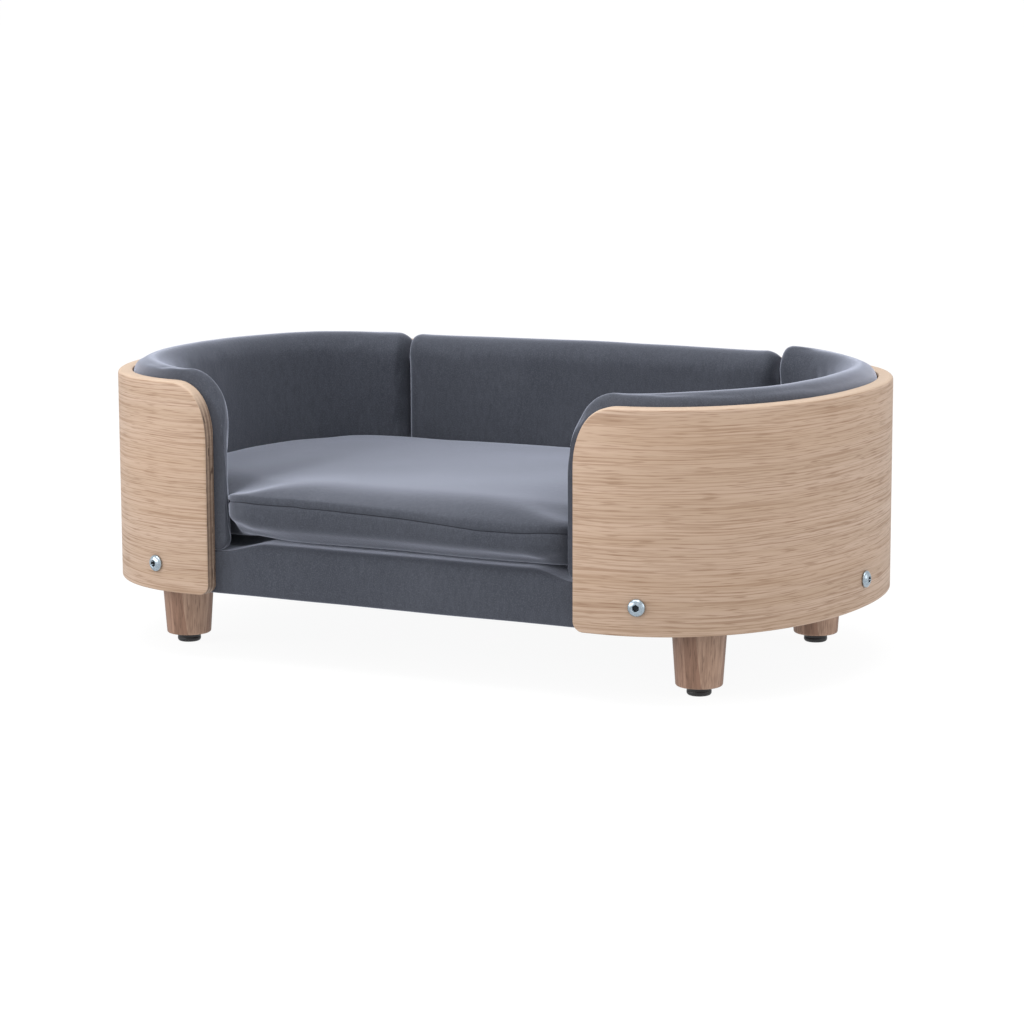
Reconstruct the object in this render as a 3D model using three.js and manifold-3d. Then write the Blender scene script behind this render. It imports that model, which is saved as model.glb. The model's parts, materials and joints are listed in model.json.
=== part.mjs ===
// Raised dog bed: three bent-plywood panels with upholstered pads stand round a padded platform on
// four turned legs, and a loose seat cushion lies inside. Millimetres, +Z up, +X to the bed's right,
// front at -Y, origin on the floor under the middle of the bed.
import * as THREE from "three";
import { mergeVertices } from "three/addons/utils/BufferGeometryUtils.js";
import Module from "manifold-3d";

const wasm = await Module();
wasm.setup();

// ---- Driving dimensions -----------------------------------------------------------------------

const LENGTH = 667; // over the side panels
const DEPTH = 400; // over the front arms and the back panel
const END_LENGTH = 144.5; // plan length of each rounded end
const END_EXPONENT = 2.15; // superellipse exponent of the rounded ends
const FIT_GAP = 0.3; // clearance left between touching pieces

const PANEL = {
  thickness: 12.5,
  bottom: 58,
  top: 235.5,
  armEndX: 169.2, // where the front arms stop
  backJointX: 186, // where the side panels meet the back panel
  topEdgeRadius: 3,
  frontCorner: { reach: 37, drop: 53, exponent: 2.4 }, // soft top corner of a front arm
  bottomCornerRadius: 9,
};

const PAD = {
  bottom: 94.5,
  crown: 247,
  thickness: 34,
  tipThickness: 14, // where the pad thins out at the front of each arm
  taperLength: 110,
  armEndX: 165, // the pad stands a little proud of the panel's end
  backGapX: 186.5, // middle of the gap between a side pad and the back pad
  backGap: 2.4,
  skin: 1.5,
  boardThickness: 2.8,
  frontCorner: { reach: 42, drop: 62, exponent: 2.3 },
  backCorner: { reach: 14, drop: 15, exponent: 2 },
  bottomCornerRadius: 8,
  endRounding: 9,
};

const BASE = {
  bottom: 58,
  ledge: 94, // top of the platform under the pads
  top: 102, // top of the padded middle, under the cushion
  skin: 2,
  flangeWidth: 27, // cover turned under the platform's edge
  rimWidth: 24,
  deckTop: 91.9,
  deckBottom: 88.3,
  railWidth: 60,
  frontHalfWidth: 160, // padded middle between the front arms
};

const CUSHION = {
  bottom: 102.6,
  top: 150.5,
  front: 192, // how far its front edge reaches forward
  frontHalfWidth: 140, // straight part of the front edge
  tipX: 161.5, // where it meets the pad's end
  clearance: 1.2,
  skin: 1.6,
  zip: { halfLength: 150, bottom: 124, height: 6 },
};

const LEG = { x: 242, y: 121, top: 57.7, bottom: 7.6, topRadius: 22.4, bottomRadius: 19 };
const GLIDE = { radius: 10, height: 7.3, stemRadius: 2.9, stemTop: 20 };
const BOLT = { radius: 4, length: 30, headRadius: 7, headHeight: 4.3, z: 81, socketFlats: 5 };
const BOLT_X = { side: 222, back: 110 };
const INSERT = { outerRadius: 6.5, innerRadius: 4.3, length: 16, recess: 1.2 };
const HANGER = { radius: 4, bottom: 30, top: 78 };

const FINISH = {
  oakPly: { color: 0xcfa982, roughness: 0.55, metalness: 0 },
  backingBoard: { color: 0x8c6b4a, roughness: 0.8, metalness: 0 },
  frameWood: { color: 0xc9ab80, roughness: 0.7, metalness: 0 },
  legWood: { color: 0x8b6852, roughness: 0.55, metalness: 0 },
  velvet: { color: 0x555b66, roughness: 0.95, metalness: 0 },
  foam: { color: 0xe6dfc4, roughness: 1, metalness: 0 },
  dustCover: { color: 0x1d1d1f, roughness: 1, metalness: 0 },
  zinc: { color: 0xb9c0c8, roughness: 0.3, metalness: 1 },
  blackPlastic: { color: 0x101012, roughness: 0.5, metalness: 0 },
};

// ---- Plan outline -----------------------------------------------------------------------------

const HALF_DEPTH = DEPTH / 2;
const STRAIGHT_X = LENGTH / 2 - END_LENGTH; // where the rounded ends begin

// Point of the right rounded end at angle t, from -90 deg (front) to +90 deg (back).
function endPoint(t) {
  const power = 2 / END_EXPONENT;
  const x = STRAIGHT_X + END_LENGTH * Math.abs(Math.cos(t)) ** power;
  const y = HALF_DEPTH * Math.sign(Math.sin(t)) * Math.abs(Math.sin(t)) ** power;
  return new THREE.Vector2(x, y);
}

const END_SAMPLES = 400;
const END_TABLE = [];
for (let i = 0; i <= END_SAMPLES; i++) {
  const t = ((i / END_SAMPLES) * Math.PI) / 2;
  const point = endPoint(t);
  const last = END_TABLE[END_TABLE.length - 1];
  const run = last ? last.run + point.distanceTo(last.point) : 0;
  END_TABLE.push({ t, point, run });
}
const QUARTER = END_TABLE[END_SAMPLES].run; // length of the outline from the side's middle to the straight

// Outer outline of the right side by run along it: 0 at the middle of the side, negative towards
// the front. Beyond the rounded end the outline is the straight front or back.
function outlineAt(run) {
  const way = run < 0 ? -1 : 1;
  const distance = Math.abs(run);
  if (distance >= QUARTER) {
    const point = new THREE.Vector2(STRAIGHT_X - (distance - QUARTER), way * HALF_DEPTH);
    return { point, inward: new THREE.Vector2(0, -way) };
  }
  const next = END_TABLE.findIndex((entry) => entry.run > distance);
  const a = END_TABLE[next - 1];
  const b = END_TABLE[next];
  const t = a.t + ((b.t - a.t) * (distance - a.run)) / (b.run - a.run);
  const point = endPoint(way * t);
  const slopeX = ((point.x - STRAIGHT_X) / END_LENGTH) ** (END_EXPONENT - 1) / END_LENGTH;
  const slopeY = (Math.abs(point.y) / HALF_DEPTH) ** (END_EXPONENT - 1) / HALF_DEPTH;
  return { point, inward: new THREE.Vector2(-slopeX, -way * slopeY).normalize() };
}

const insetPoint = (run, inset) => {
  const { point, inward } = outlineAt(run);
  return point.addScaledVector(inward, inset);
};
const frontRun = (x) => -(QUARTER + STRAIGHT_X - x);
const backRun = (x) => QUARTER + STRAIGHT_X - x;

// Stations round the rounded end, shared by every piece so that nested pieces have parallel facets.
const CORNER_STATIONS = [0, 7, 17];
const END_STEPS = 16;
const END_STATIONS = [];
for (const corner of CORNER_STATIONS) END_STATIONS.push(-QUARTER + corner, QUARTER - corner);
const lastCorner = QUARTER - CORNER_STATIONS[CORNER_STATIONS.length - 1];
for (let i = 1; i < END_STEPS; i++) END_STATIONS.push(lastCorner * ((2 * i) / END_STEPS - 1));
END_STATIONS.sort((a, b) => a - b);

// Closed plan outline of the whole bed, moved inwards, anticlockwise.
function bedOutline(inset) {
  const right = END_STATIONS.map((run) => insetPoint(run, inset));
  const left = right.map((p) => new THREE.Vector2(-p.x, p.y)).reverse();
  return [...right, ...left];
}

// ---- Solid building ---------------------------------------------------------------------------

function signedVolume(points, triangles) {
  let volume = 0;
  for (let i = 0; i < triangles.length; i += 3) {
    const [a, b, c] = [points[triangles[i]], points[triangles[i + 1]], points[triangles[i + 2]]];
    volume += a.dot(new THREE.Vector3().crossVectors(b, c)) / 6;
  }
  return volume;
}

function meshGeometry(points, triangles) {
  const facesOut = signedVolume(points, triangles) > 0;
  const index = facesOut ? triangles : [...triangles].reverse();
  const geometry = new THREE.BufferGeometry().setFromPoints(points);
  geometry.setIndex(index);
  geometry.computeVertexNormals();
  return geometry;
}

// Closed solid through a row of rings with equal point counts. caps holds the 2D form of the first
// and the last ring, which close the ends.
function loft(rings, caps) {
  const count = rings[0].length;
  const points = rings.flat();
  const triangles = [];
  for (let r = 0; r + 1 < rings.length; r++) {
    for (let i = 0; i < count; i++) {
      const j = (i + 1) % count;
      const [a, b] = [r * count + i, r * count + j];
      triangles.push(a, b, b + count, a, b + count, a + count);
    }
  }
  const lastRing = (rings.length - 1) * count;
  const startsClockwise = THREE.ShapeUtils.isClockWise(caps[0]);
  for (const [cap, offset, reversed] of [
    [caps[0], 0, !startsClockwise],
    [caps[1], lastRing, startsClockwise],
  ]) {
    for (const [a, b, c] of THREE.ShapeUtils.triangulateShape(cap, [])) {
      const flip = THREE.ShapeUtils.area([cap[a], cap[b], cap[c]]) > 0 === reversed;
      triangles.push(offset + a, offset + (flip ? c : b), offset + (flip ? b : c));
    }
  }
  return meshGeometry(points, triangles);
}

function toSolid(geometry) {
  const bare = new THREE.BufferGeometry();
  bare.setAttribute("position", geometry.getAttribute("position"));
  if (geometry.index) bare.setIndex(geometry.index);
  const merged = mergeVertices(bare, 1e-4);
  const vertProperties = merged.attributes.position.array;
  const triVerts = new Uint32Array(merged.index.array);
  return new wasm.Manifold(new wasm.Mesh({ numProp: 3, vertProperties, triVerts }));
}

function toGeometry(solid) {
  const mesh = solid.getMesh();
  const geometry = new THREE.BufferGeometry();
  geometry.setAttribute("position", new THREE.BufferAttribute(mesh.vertProperties, 3));
  geometry.setIndex(new THREE.BufferAttribute(mesh.triVerts, 1));
  geometry.computeVertexNormals();
  return geometry;
}

const combine = (method) => (first, ...others) =>
  toGeometry(others.reduce((solid, other) => solid[method](toSolid(other)), toSolid(first)));
const cut = combine("subtract");
const join = combine("add");
const common = combine("intersect");

// Plan outline extruded from one height to another.
function slab(outline, bottom, top) {
  const options = { depth: top - bottom, bevelEnabled: false, curveSegments: 1 };
  return new THREE.ExtrudeGeometry(new THREE.Shape(outline), options).translate(0, 0, bottom);
}

function block(minX, maxX, minY, maxY, minZ, maxZ) {
  const geometry = new THREE.BoxGeometry(maxX - minX, maxY - minY, maxZ - minZ);
  return geometry.translate((minX + maxX) / 2, (minY + maxY) / 2, (minZ + maxZ) / 2);
}

// Profile of [radius, height] points turned about +Z.
function turned(profile, segments) {
  const outline = profile.map(([radius, height]) => new THREE.Vector2(radius, height));
  const lathe = new THREE.LatheGeometry(outline, segments).rotateX(Math.PI / 2);
  return toGeometry(facingOut(toSolid(lathe)));
}

function facingOut(solid) {
  if (solid.volume() > 0) return solid;
  const mesh = solid.getMesh();
  const triVerts = mesh.triVerts.slice().reverse();
  const { vertProperties } = mesh;
  return new wasm.Manifold(new wasm.Mesh({ numProp: 3, vertProperties, triVerts }));
}

function mirrored(geometry) {
  const flipped = geometry.clone().scale(-1, 1, 1);
  const index = Array.from(flipped.index.array).reverse();
  flipped.setIndex(index);
  flipped.computeVertexNormals();
  return flipped;
}

// ---- Wall pieces: sections of [inset, height] carried along the outline --------------------------

// How far a wall's top comes down at a distance from its end, for a soft corner.
function cornerDrop(distance, { reach, drop, exponent }) {
  if (distance >= reach) return 0;
  const across = (reach - distance) / reach;
  return drop * (1 - (1 - across ** exponent) ** (1 / exponent));
}

const END_FRACTIONS = [0, 0.03, 0.1, 0.22, 0.42];

// Stations of a right-side wall piece from its front end to its back end.
function wallStations(front, back, frontReach) {
  const clear = 0.8;
  const nearFront = END_FRACTIONS.map((f) => front + f * frontReach).filter((s) => s < -QUARTER - clear);
  const between = END_STATIONS.filter((s) => s > front + clear && s < back - clear);
  return [...nearFront, ...between, back];
}

function sideWall(stations, sectionAt) {
  const sections = stations.map(sectionAt);
  const rings = sections.map((section, k) =>
    section.map(([inset, z]) => {
      const { x, y } = insetPoint(stations[k], inset);
      return new THREE.Vector3(x, y, z);
    }),
  );
  const flat = (section) => section.map(([inset, z]) => new THREE.Vector2(inset, z));
  return loft(rings, [flat(sections[0]), flat(sections[sections.length - 1])]);
}

// The same along the straight back, between x = -halfWidth and +halfWidth.
function backWall(halfWidth, reach, sectionAt) {
  const half = [...END_FRACTIONS, 1].map((f) => f * reach);
  const stations = [...half.map((d) => d - halfWidth), ...half.reverse().map((d) => halfWidth - d)];
  const sections = stations.map(sectionAt);
  const rings = sections.map((section, k) =>
    section.map(([inset, z]) => new THREE.Vector3(stations[k], HALF_DEPTH - inset, z)),
  );
  const flat = (section) => section.map(([inset, z]) => new THREE.Vector2(inset, z));
  return loft(rings, [flat(sections[0]), flat(sections[sections.length - 1])]);
}

function panelSection(top, bottom) {
  const { thickness, topEdgeRadius: radius } = PANEL;
  const eased = 0.8;
  return [
    [eased, bottom],
    [0, bottom + eased],
    [0, top - radius],
    [radius * 0.3, top - radius * 0.3],
    [radius, top],
    [thickness - eased, top],
    [thickness, top - eased],
    [thickness, bottom],
  ];
}

const roundRise = (distance, radius) =>
  distance >= radius ? 0 : radius - Math.sqrt(radius ** 2 - (radius - distance) ** 2);

function sidePanel() {
  const front = frontRun(PANEL.armEndX);
  const back = backRun(PANEL.backJointX + FIT_GAP);
  const stations = wallStations(front, back, PANEL.frontCorner.reach);
  return sideWall(stations, (run) => {
    const top = PANEL.top - cornerDrop(run - front, PANEL.frontCorner);
    const bottom = PANEL.bottom + roundRise(run - front, PANEL.bottomCornerRadius);
    return panelSection(top, bottom);
  });
}

function backPanel() {
  const section = () => panelSection(PANEL.top, PANEL.bottom);
  return backWall(PANEL.backJointX - FIT_GAP, BOLT_X.back, section);
}

const PAD_FACE = PANEL.thickness + FIT_GAP; // inset of the pads' backs
const OPEN_BACK = PAD_FACE - 2; // the hollow of a cover runs out through its back
const LIP_BELOW_CROWN = 16; // the cover is turned over the top, down to this line at the back

// Section of a pad's outer surface, from its back round to its face.
function padSection(thickness, crown, bottom) {
  const face = PAD_FACE + thickness;
  const across = (share) => PAD_FACE + share * thickness;
  return [
    [PAD_FACE, bottom],
    [PAD_FACE, crown - 10],
    [across(0.15), crown - 3],
    [across(0.5), crown],
    [across(0.85), crown - 4],
    [face, crown - 15],
    [face, bottom + 4],
    [across(0.88), bottom],
  ];
}

// Section of the hollow inside its cover, a distance inside the outer surface and open at the back.
function hollowSection(thickness, crown, bottom, inner) {
  const back = PAD_FACE + inner;
  const face = PAD_FACE + thickness - inner;
  const across = (share) => back + share * (face - back);
  const [top, foot] = [crown - inner, bottom + inner];
  const lip = crown - LIP_BELOW_CROWN - inner;
  return [
    [OPEN_BACK, foot],
    [OPEN_BACK, lip],
    [back, lip],
    [back, top - 10],
    [across(0.2), top - 4],
    [across(0.5), top],
    [across(0.8), top - 5],
    [face, top - 16],
    [face, foot + 4],
    [across(0.88), foot],
  ];
}

// Thickness of a side pad: full all round, thinning towards its front tip.
function padThickness(run) {
  const along = THREE.MathUtils.clamp((run - frontRun(PAD.armEndX)) / PAD.taperLength, 0, 1);
  const eased = along * along * (3 - 2 * along);
  return PAD.tipThickness + (PAD.thickness - PAD.tipThickness) * eased;
}

const endPinch = (distance) => (PAD.endRounding - 4) * (1 - Math.min(distance / PAD.endRounding, 1));

const padOrHollow = (thickness, crown, bottom, inner) =>
  inner > 0 ? hollowSection(thickness, crown, bottom, inner) : padSection(thickness, crown, bottom);

// Solid of a side pad's outer surface (inner 0) or of the space inside its cover.
function sidePadSolid(inner) {
  const front = frontRun(PAD.armEndX) + inner;
  const back = backRun(PAD.backGapX + PAD.backGap / 2) - inner;
  const { frontCorner, backCorner } = PAD;
  const stations = wallStations(front, back, frontCorner.reach);
  return sideWall(stations, (run) => {
    const lower = cornerDrop(run - front, frontCorner) + cornerDrop(back - run, backCorner);
    const bottom = PAD.bottom + roundRise(run - front, PAD.bottomCornerRadius);
    const pinch = endPinch(run - front) + endPinch(back - run);
    return padOrHollow(padThickness(run) - pinch, PAD.crown - lower, bottom, inner);
  });
}

function backPadSolid(inner) {
  const halfWidth = PAD.backGapX - PAD.backGap / 2 - inner;
  return backWall(halfWidth, PAD.backCorner.reach, (x) => {
    const distance = halfWidth - Math.abs(x);
    const lower = cornerDrop(distance, PAD.backCorner);
    const thickness = PAD.thickness - endPinch(distance);
    return padOrHollow(thickness, PAD.crown - lower, PAD.bottom, inner);
  });
}

const BOARD_BACK = PAD_FACE + FIT_GAP;
const BOARD_FRONT = BOARD_BACK + PAD.boardThickness;
const BOARD_BOTTOM = PAD.bottom + 3;
const BOARD_TOP = PAD.crown - LIP_BELOW_CROWN - 7;
const BOARD_MARGIN = 10; // how far the backing board stops short of a pad's end

const wallSlice = (back, front, bottom, top) => [
  [back, bottom],
  [back, top],
  [front, top],
  [front, bottom],
];

// Cover and foam of a pad. boardSpace is the zone behind the foam.
function padPieces(solidOf, boardSpace) {
  const cover = cut(solidOf(0), solidOf(PAD.skin));
  const foam = cut(solidOf(PAD.skin + FIT_GAP), boardSpace);
  return { cover, foam };
}

const boardSlice = (top) => wallSlice(BOARD_BACK, BOARD_FRONT, BOARD_BOTTOM, top);
const BOARD_SPACE_TOP = PAD.crown - LIP_BELOW_CROWN - 1;
const boardSpaceSlice = (top) =>
  wallSlice(OPEN_BACK - 1, BOARD_FRONT + FIT_GAP, PAD.bottom - 1, top);

function sidePadPieces() {
  const front = frontRun(PAD.armEndX);
  const back = backRun(PAD.backGapX);
  const padRun = wallStations(front, back, PAD.frontCorner.reach);
  const wholeRun = [front - 1, ...padRun.slice(0, -1), back + 1];
  const boardRun = [frontRun(PAD.armEndX + BOARD_MARGIN), ...END_STATIONS.slice(0, -3)];
  const board = sideWall(boardRun, (run) =>
    boardSlice(BOARD_TOP - cornerDrop(run - front, PAD.frontCorner)),
  );
  const space = sideWall(wholeRun, (run) =>
    boardSpaceSlice(BOARD_SPACE_TOP - cornerDrop(Math.max(run - front, 0), PAD.frontCorner)),
  );
  return { ...padPieces(sidePadSolid, space), board };
}

function backPadPieces() {
  const boardHalf = PAD.backGapX - BOARD_MARGIN;
  const board = backWall(boardHalf, BOARD_MARGIN, () => boardSlice(BOARD_TOP));
  const space = backWall(PAD.backGapX, BOARD_MARGIN, () => boardSpaceSlice(BOARD_SPACE_TOP));
  return { ...padPieces(backPadSolid, space), board };
}

// ---- Platform ---------------------------------------------------------------------------------

const BASE_INSET = PANEL.thickness + 0.6;
const CORE_INSET = BASE_INSET + BASE.skin + FIT_GAP;
const RIM_INNER = CORE_INSET + BASE.rimWidth;
const RIM_BOTTOM = BASE.bottom + BASE.skin;
const RAISED_INSET = PAD_FACE + PAD.thickness + 2;

// The padded middle of the platform, which reaches forward between the arms.
function raisedMiddle(inner, bottom, top) {
  const oval = slab(bedOutline(RAISED_INSET + inner), bottom, top);
  const half = BASE.frontHalfWidth - inner;
  const front = -HALF_DEPTH + BASE_INSET + inner;
  return join(oval, block(-half, half, front, 0, bottom, top));
}

function drill(center, direction, radius, depth, segments = 12) {
  const up = new THREE.Vector3(0, 1, 0);
  const turn = new THREE.Quaternion().setFromUnitVectors(up, direction);
  const geometry = new THREE.CylinderGeometry(radius, radius, depth, segments);
  geometry.applyQuaternion(turn);
  return geometry.translate(center.x, center.y, center.z);
}

// Bolts that hold the panels: where each one enters the outer face, and the way it points in.
const PANEL_BOLTS = [];
function addPanelBolt(name, panel, point, inward) {
  const head = new THREE.Vector3(point.x, point.y, BOLT.z);
  PANEL_BOLTS.push({ name, panel, head, inward: new THREE.Vector3(inward.x, inward.y, 0) });
}
function runAtX(x) {
  const entry = END_TABLE.find((sample) => sample.point.x <= x);
  return entry.run;
}
const SIDE_BOLT_RUNS = { front: -runAtX(BOLT_X.side), side: 0, rear: runAtX(BOLT_X.side) };
for (const [panel, mirror] of [["left", -1], ["right", 1]]) {
  for (const [place, run] of Object.entries(SIDE_BOLT_RUNS)) {
    const { point, inward } = outlineAt(run);
    const at = new THREE.Vector2(mirror * point.x, point.y);
    addPanelBolt(`${panel}_${place}`, panel, at, new THREE.Vector2(mirror * inward.x, inward.y));
  }
  const at = new THREE.Vector2(mirror * BOLT_X.back, HALF_DEPTH);
  addPanelBolt(`back_${panel}`, "back", at, new THREE.Vector2(0, -1));
}

const boltHole = ({ head, inward }, radius, depth) =>
  drill(head.clone().addScaledVector(inward, depth / 2 - 2), inward, radius, depth);
const boltHoles = (bolts, radius, depth) => bolts.map((bolt) => boltHole(bolt, radius, depth));

function baseCover() {
  const outside = join(
    slab(bedOutline(BASE_INSET), BASE.bottom, BASE.ledge),
    raisedMiddle(0, BASE.bottom, BASE.top),
  );
  const hollow = slab(
    bedOutline(BASE_INSET + BASE.skin),
    BASE.bottom + BASE.skin - FIT_GAP,
    BASE.deckTop + FIT_GAP,
  );
  const mouth = slab(bedOutline(BASE_INSET + BASE.flangeWidth), BASE.bottom - 1, BASE.deckTop);
  const middle = raisedMiddle(BASE.skin, BASE.deckTop, BASE.top - BASE.skin + FIT_GAP);
  const holeDepth = PANEL.thickness + 10;
  return cut(outside, hollow, mouth, middle, ...boltHoles(PANEL_BOLTS, BOLT.radius + 0.6, holeDepth));
}

function baseRim() {
  const ring = cut(
    slab(bedOutline(CORE_INSET), RIM_BOTTOM, BASE.deckBottom - FIT_GAP),
    slab(bedOutline(RIM_INNER), RIM_BOTTOM - 1, BASE.deckBottom + 1),
  );
  const depth = CORE_INSET + INSERT.recess + INSERT.length + 3;
  return cut(ring, ...boltHoles(PANEL_BOLTS, INSERT.outerRadius + FIT_GAP, depth));
}

const LEG_PLACES = [
  ["front_left", -LEG.x, -LEG.y],
  ["front_right", LEG.x, -LEG.y],
  ["rear_left", -LEG.x, LEG.y],
  ["rear_right", LEG.x, LEG.y],
];
const legHoles = (radius) =>
  LEG_PLACES.map(([, x, y]) => {
    const center = new THREE.Vector3(x, y, RIM_BOTTOM);
    return drill(center, new THREE.Vector3(0, 0, 1), radius, 2 * (HANGER.top - RIM_BOTTOM + 4));
  });

function crossRail(x) {
  const half = BASE.railWidth / 2;
  const top = BASE.deckBottom - FIT_GAP;
  const rail = common(
    block(x - half, x + half, -HALF_DEPTH, HALF_DEPTH, RIM_BOTTOM, top),
    slab(bedOutline(RIM_INNER + FIT_GAP), RIM_BOTTOM - 1, top + 1),
  );
  return x === 0 ? rail : cut(rail, ...legHoles(INSERT.outerRadius + FIT_GAP));
}

function dustCover() {
  const outline = bedOutline(BASE_INSET + BASE.flangeWidth + FIT_GAP);
  const sheet = slab(outline, BASE.bottom, BASE.bottom + 0.8);
  return cut(sheet, ...legHoles(HANGER.radius + 0.6));
}

// ---- Seat cushion -----------------------------------------------------------------------------

// Plan outline of the cushion: it follows the pads, and swells forward between the arms.
function cushionOutline() {
  const follow = END_STATIONS.map((run) => {
    const inset = PAD_FACE + padThickness(run) + CUSHION.clearance;
    return insetPoint(run, inset);
  });
  const tuck = follow[0];
  const corner = [];
  const steps = 4;
  for (let i = 0; i <= steps; i++) {
    const angle = (i / steps) * (Math.PI / 2);
    const x = CUSHION.frontHalfWidth + (CUSHION.tipX - CUSHION.frontHalfWidth) * Math.sin(angle);
    const y = -CUSHION.front + (tuck.y + CUSHION.front) * (1 - Math.cos(angle));
    corner.push(new THREE.Vector2(x, y));
  }
  const right = [...corner, ...follow.slice(1)];
  const left = right.map((p) => new THREE.Vector2(-p.x, p.y)).reverse();
  return [...right, ...left];
}

function shrink(outline, distance) {
  return outline.map((point, i) => {
    const before = outline[(i + outline.length - 1) % outline.length];
    const after = outline[(i + 1) % outline.length];
    const along = after.clone().sub(before).normalize();
    return point.clone().add(new THREE.Vector2(-along.y, along.x).multiplyScalar(distance));
  });
}

// Rings of the cushion as [share of the height, inset]: tucked in below, swelling at the middle.
const CUSHION_RINGS = [
  [0, 7],
  [0.15, 1.5],
  [0.45, 0],
  [0.8, 1],
  [1, 9],
];

function cushionSolid(inner) {
  const outline = cushionOutline();
  const bottom = CUSHION.bottom + inner;
  const height = CUSHION.top - inner - bottom;
  const rings = CUSHION_RINGS.map(([share, inset]) =>
    shrink(outline, inset + inner).map((p) => new THREE.Vector3(p.x, p.y, bottom + share * height)),
  );
  const flat = (ring) => ring.map((p) => new THREE.Vector2(p.x, p.y));
  return loft(rings, [flat(rings[0]), flat(rings[rings.length - 1])]);
}

const CUSHION_BACK = HALF_DEPTH - PAD_FACE - PAD.thickness - CUSHION.clearance;

function cushionCover() {
  const { halfLength, bottom, height } = CUSHION.zip;
  const backZone = [CUSHION_BACK - 8, CUSHION_BACK + 2];
  const slot = block(-halfLength, halfLength, ...backZone, bottom, bottom + height);
  return cut(cushionSolid(0), cushionSolid(CUSHION.skin), slot);
}

function cushionZip() {
  const { halfLength, bottom, height } = CUSHION.zip;
  const half = halfLength - FIT_GAP;
  const back = [CUSHION_BACK - CUSHION.skin, CUSHION_BACK - 0.1];
  return block(-half, half, ...back, bottom + FIT_GAP, bottom + height - FIT_GAP);
}

// ---- Turned pieces ----------------------------------------------------------------------------

function legBody() {
  const stemHole = GLIDE.stemRadius + FIT_GAP;
  const boltHoleRadius = HANGER.radius + FIT_GAP;
  const softEdge = 1.4;
  return turned(
    [
      [0, GLIDE.stemTop + FIT_GAP],
      [stemHole, GLIDE.stemTop + FIT_GAP],
      [stemHole, LEG.bottom],
      [LEG.bottomRadius - softEdge, LEG.bottom],
      [LEG.bottomRadius, LEG.bottom + softEdge],
      [LEG.topRadius, LEG.top],
      [boltHoleRadius, LEG.top],
      [boltHoleRadius, HANGER.bottom - FIT_GAP],
      [0, HANGER.bottom - FIT_GAP],
    ],
    16,
  );
}

function glideBody() {
  const { radius, height, stemRadius, stemTop } = GLIDE;
  return turned(
    [
      [0, 0],
      [radius - 2, 0],
      [radius - 0.5, 1.1],
      [radius, 2.6],
      [radius, height],
      [stemRadius, height],
      [stemRadius, stemTop],
      [0, stemTop],
    ],
    12,
  );
}

// Threaded sleeve along +Z from its open mouth at z = 0.
function insertBody(length) {
  const { outerRadius, innerRadius } = INSERT;
  return turned(
    [
      [innerRadius, 0],
      [outerRadius, 0],
      [outerRadius, length],
      [innerRadius, length],
      [innerRadius, 0],
    ],
    12,
  );
}

function hangerBolt() {
  const { radius, bottom, top } = HANGER;
  return turned(
    [
      [0, bottom],
      [radius - 1, bottom],
      [radius, bottom + 1.5],
      [radius, top],
      [0, top],
    ],
    12,
  );
}

// Domed bolt with a hexagon socket: head above z = 0, shank below it.
function panelBolt() {
  const { radius, length, headRadius, headHeight, socketFlats } = BOLT;
  const body = turned(
    [
      [0, -length],
      [radius, -length],
      [radius, 0],
      [headRadius, 0],
      [headRadius, 1.2],
      [headRadius - 1.8, 3.4],
      [headRadius - 4, headHeight],
      [0, headHeight],
    ],
    12,
  );
  const depth = 2.6;
  const up = new THREE.Vector3(0, 0, 1);
  const center = new THREE.Vector3(0, 0, headHeight - depth + 2);
  return cut(body, drill(center, up, socketFlats / Math.sqrt(3), 4, 6));
}

// ---- Assembly ---------------------------------------------------------------------------------

const bed = new THREE.Group();

function addPart(name, geometry, finish) {
  const mesh = new THREE.Mesh(geometry, new THREE.MeshStandardMaterial(FINISH[finish]));
  mesh.name = name;
  bed.add(mesh);
  return mesh;
}

// Panels
const BOLT_CLEARANCE = BOLT.radius + 0.5;
const boltsOf = (panel) => PANEL_BOLTS.filter((bolt) => bolt.panel === panel);
const rightPanel = cut(sidePanel(), ...boltHoles(boltsOf("right"), BOLT_CLEARANCE, PANEL.thickness + 6));
addPart("right_side_panel", rightPanel, "oakPly");
addPart("left_side_panel", mirrored(rightPanel), "oakPly");
const backBolts = boltHoles(boltsOf("back"), BOLT_CLEARANCE, PANEL.thickness + 6);
addPart("back_panel", cut(backPanel(), ...backBolts), "oakPly");

// Pads
const rightPad = sidePadPieces();
const backPad = backPadPieces();
const PAD_FINISH = { cover: "velvet", foam: "foam", board: "backingBoard" };
for (const [piece, finish] of Object.entries(PAD_FINISH)) {
  addPart(`right_pad_${piece}`, rightPad[piece], finish);
  addPart(`left_pad_${piece}`, mirrored(rightPad[piece]), finish);
  addPart(`back_pad_${piece}`, backPad[piece], finish);
}

// Platform
addPart("base_cover", baseCover(), "velvet");
addPart("base_rim", baseRim(), "frameWood");
const deck = slab(bedOutline(CORE_INSET), BASE.deckBottom, BASE.deckTop);
addPart("base_deck", deck, "frameWood");
const topperBottom = BASE.deckTop + FIT_GAP;
const topperTop = BASE.top - BASE.skin;
addPart("base_foam", raisedMiddle(BASE.skin + FIT_GAP, topperBottom, topperTop), "foam");
for (const [place, x] of [["left", -LEG.x], ["centre", 0], ["right", LEG.x]]) {
  addPart(`${place}_cross_rail`, crossRail(x), "frameWood");
}
addPart("dust_cover", dustCover(), "dustCover");

// Seat cushion
addPart("cushion_cover", cushionCover(), "velvet");
addPart("cushion_foam", cushionSolid(CUSHION.skin + FIT_GAP), "foam");
addPart("cushion_zip", cushionZip(), "dustCover");

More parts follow.
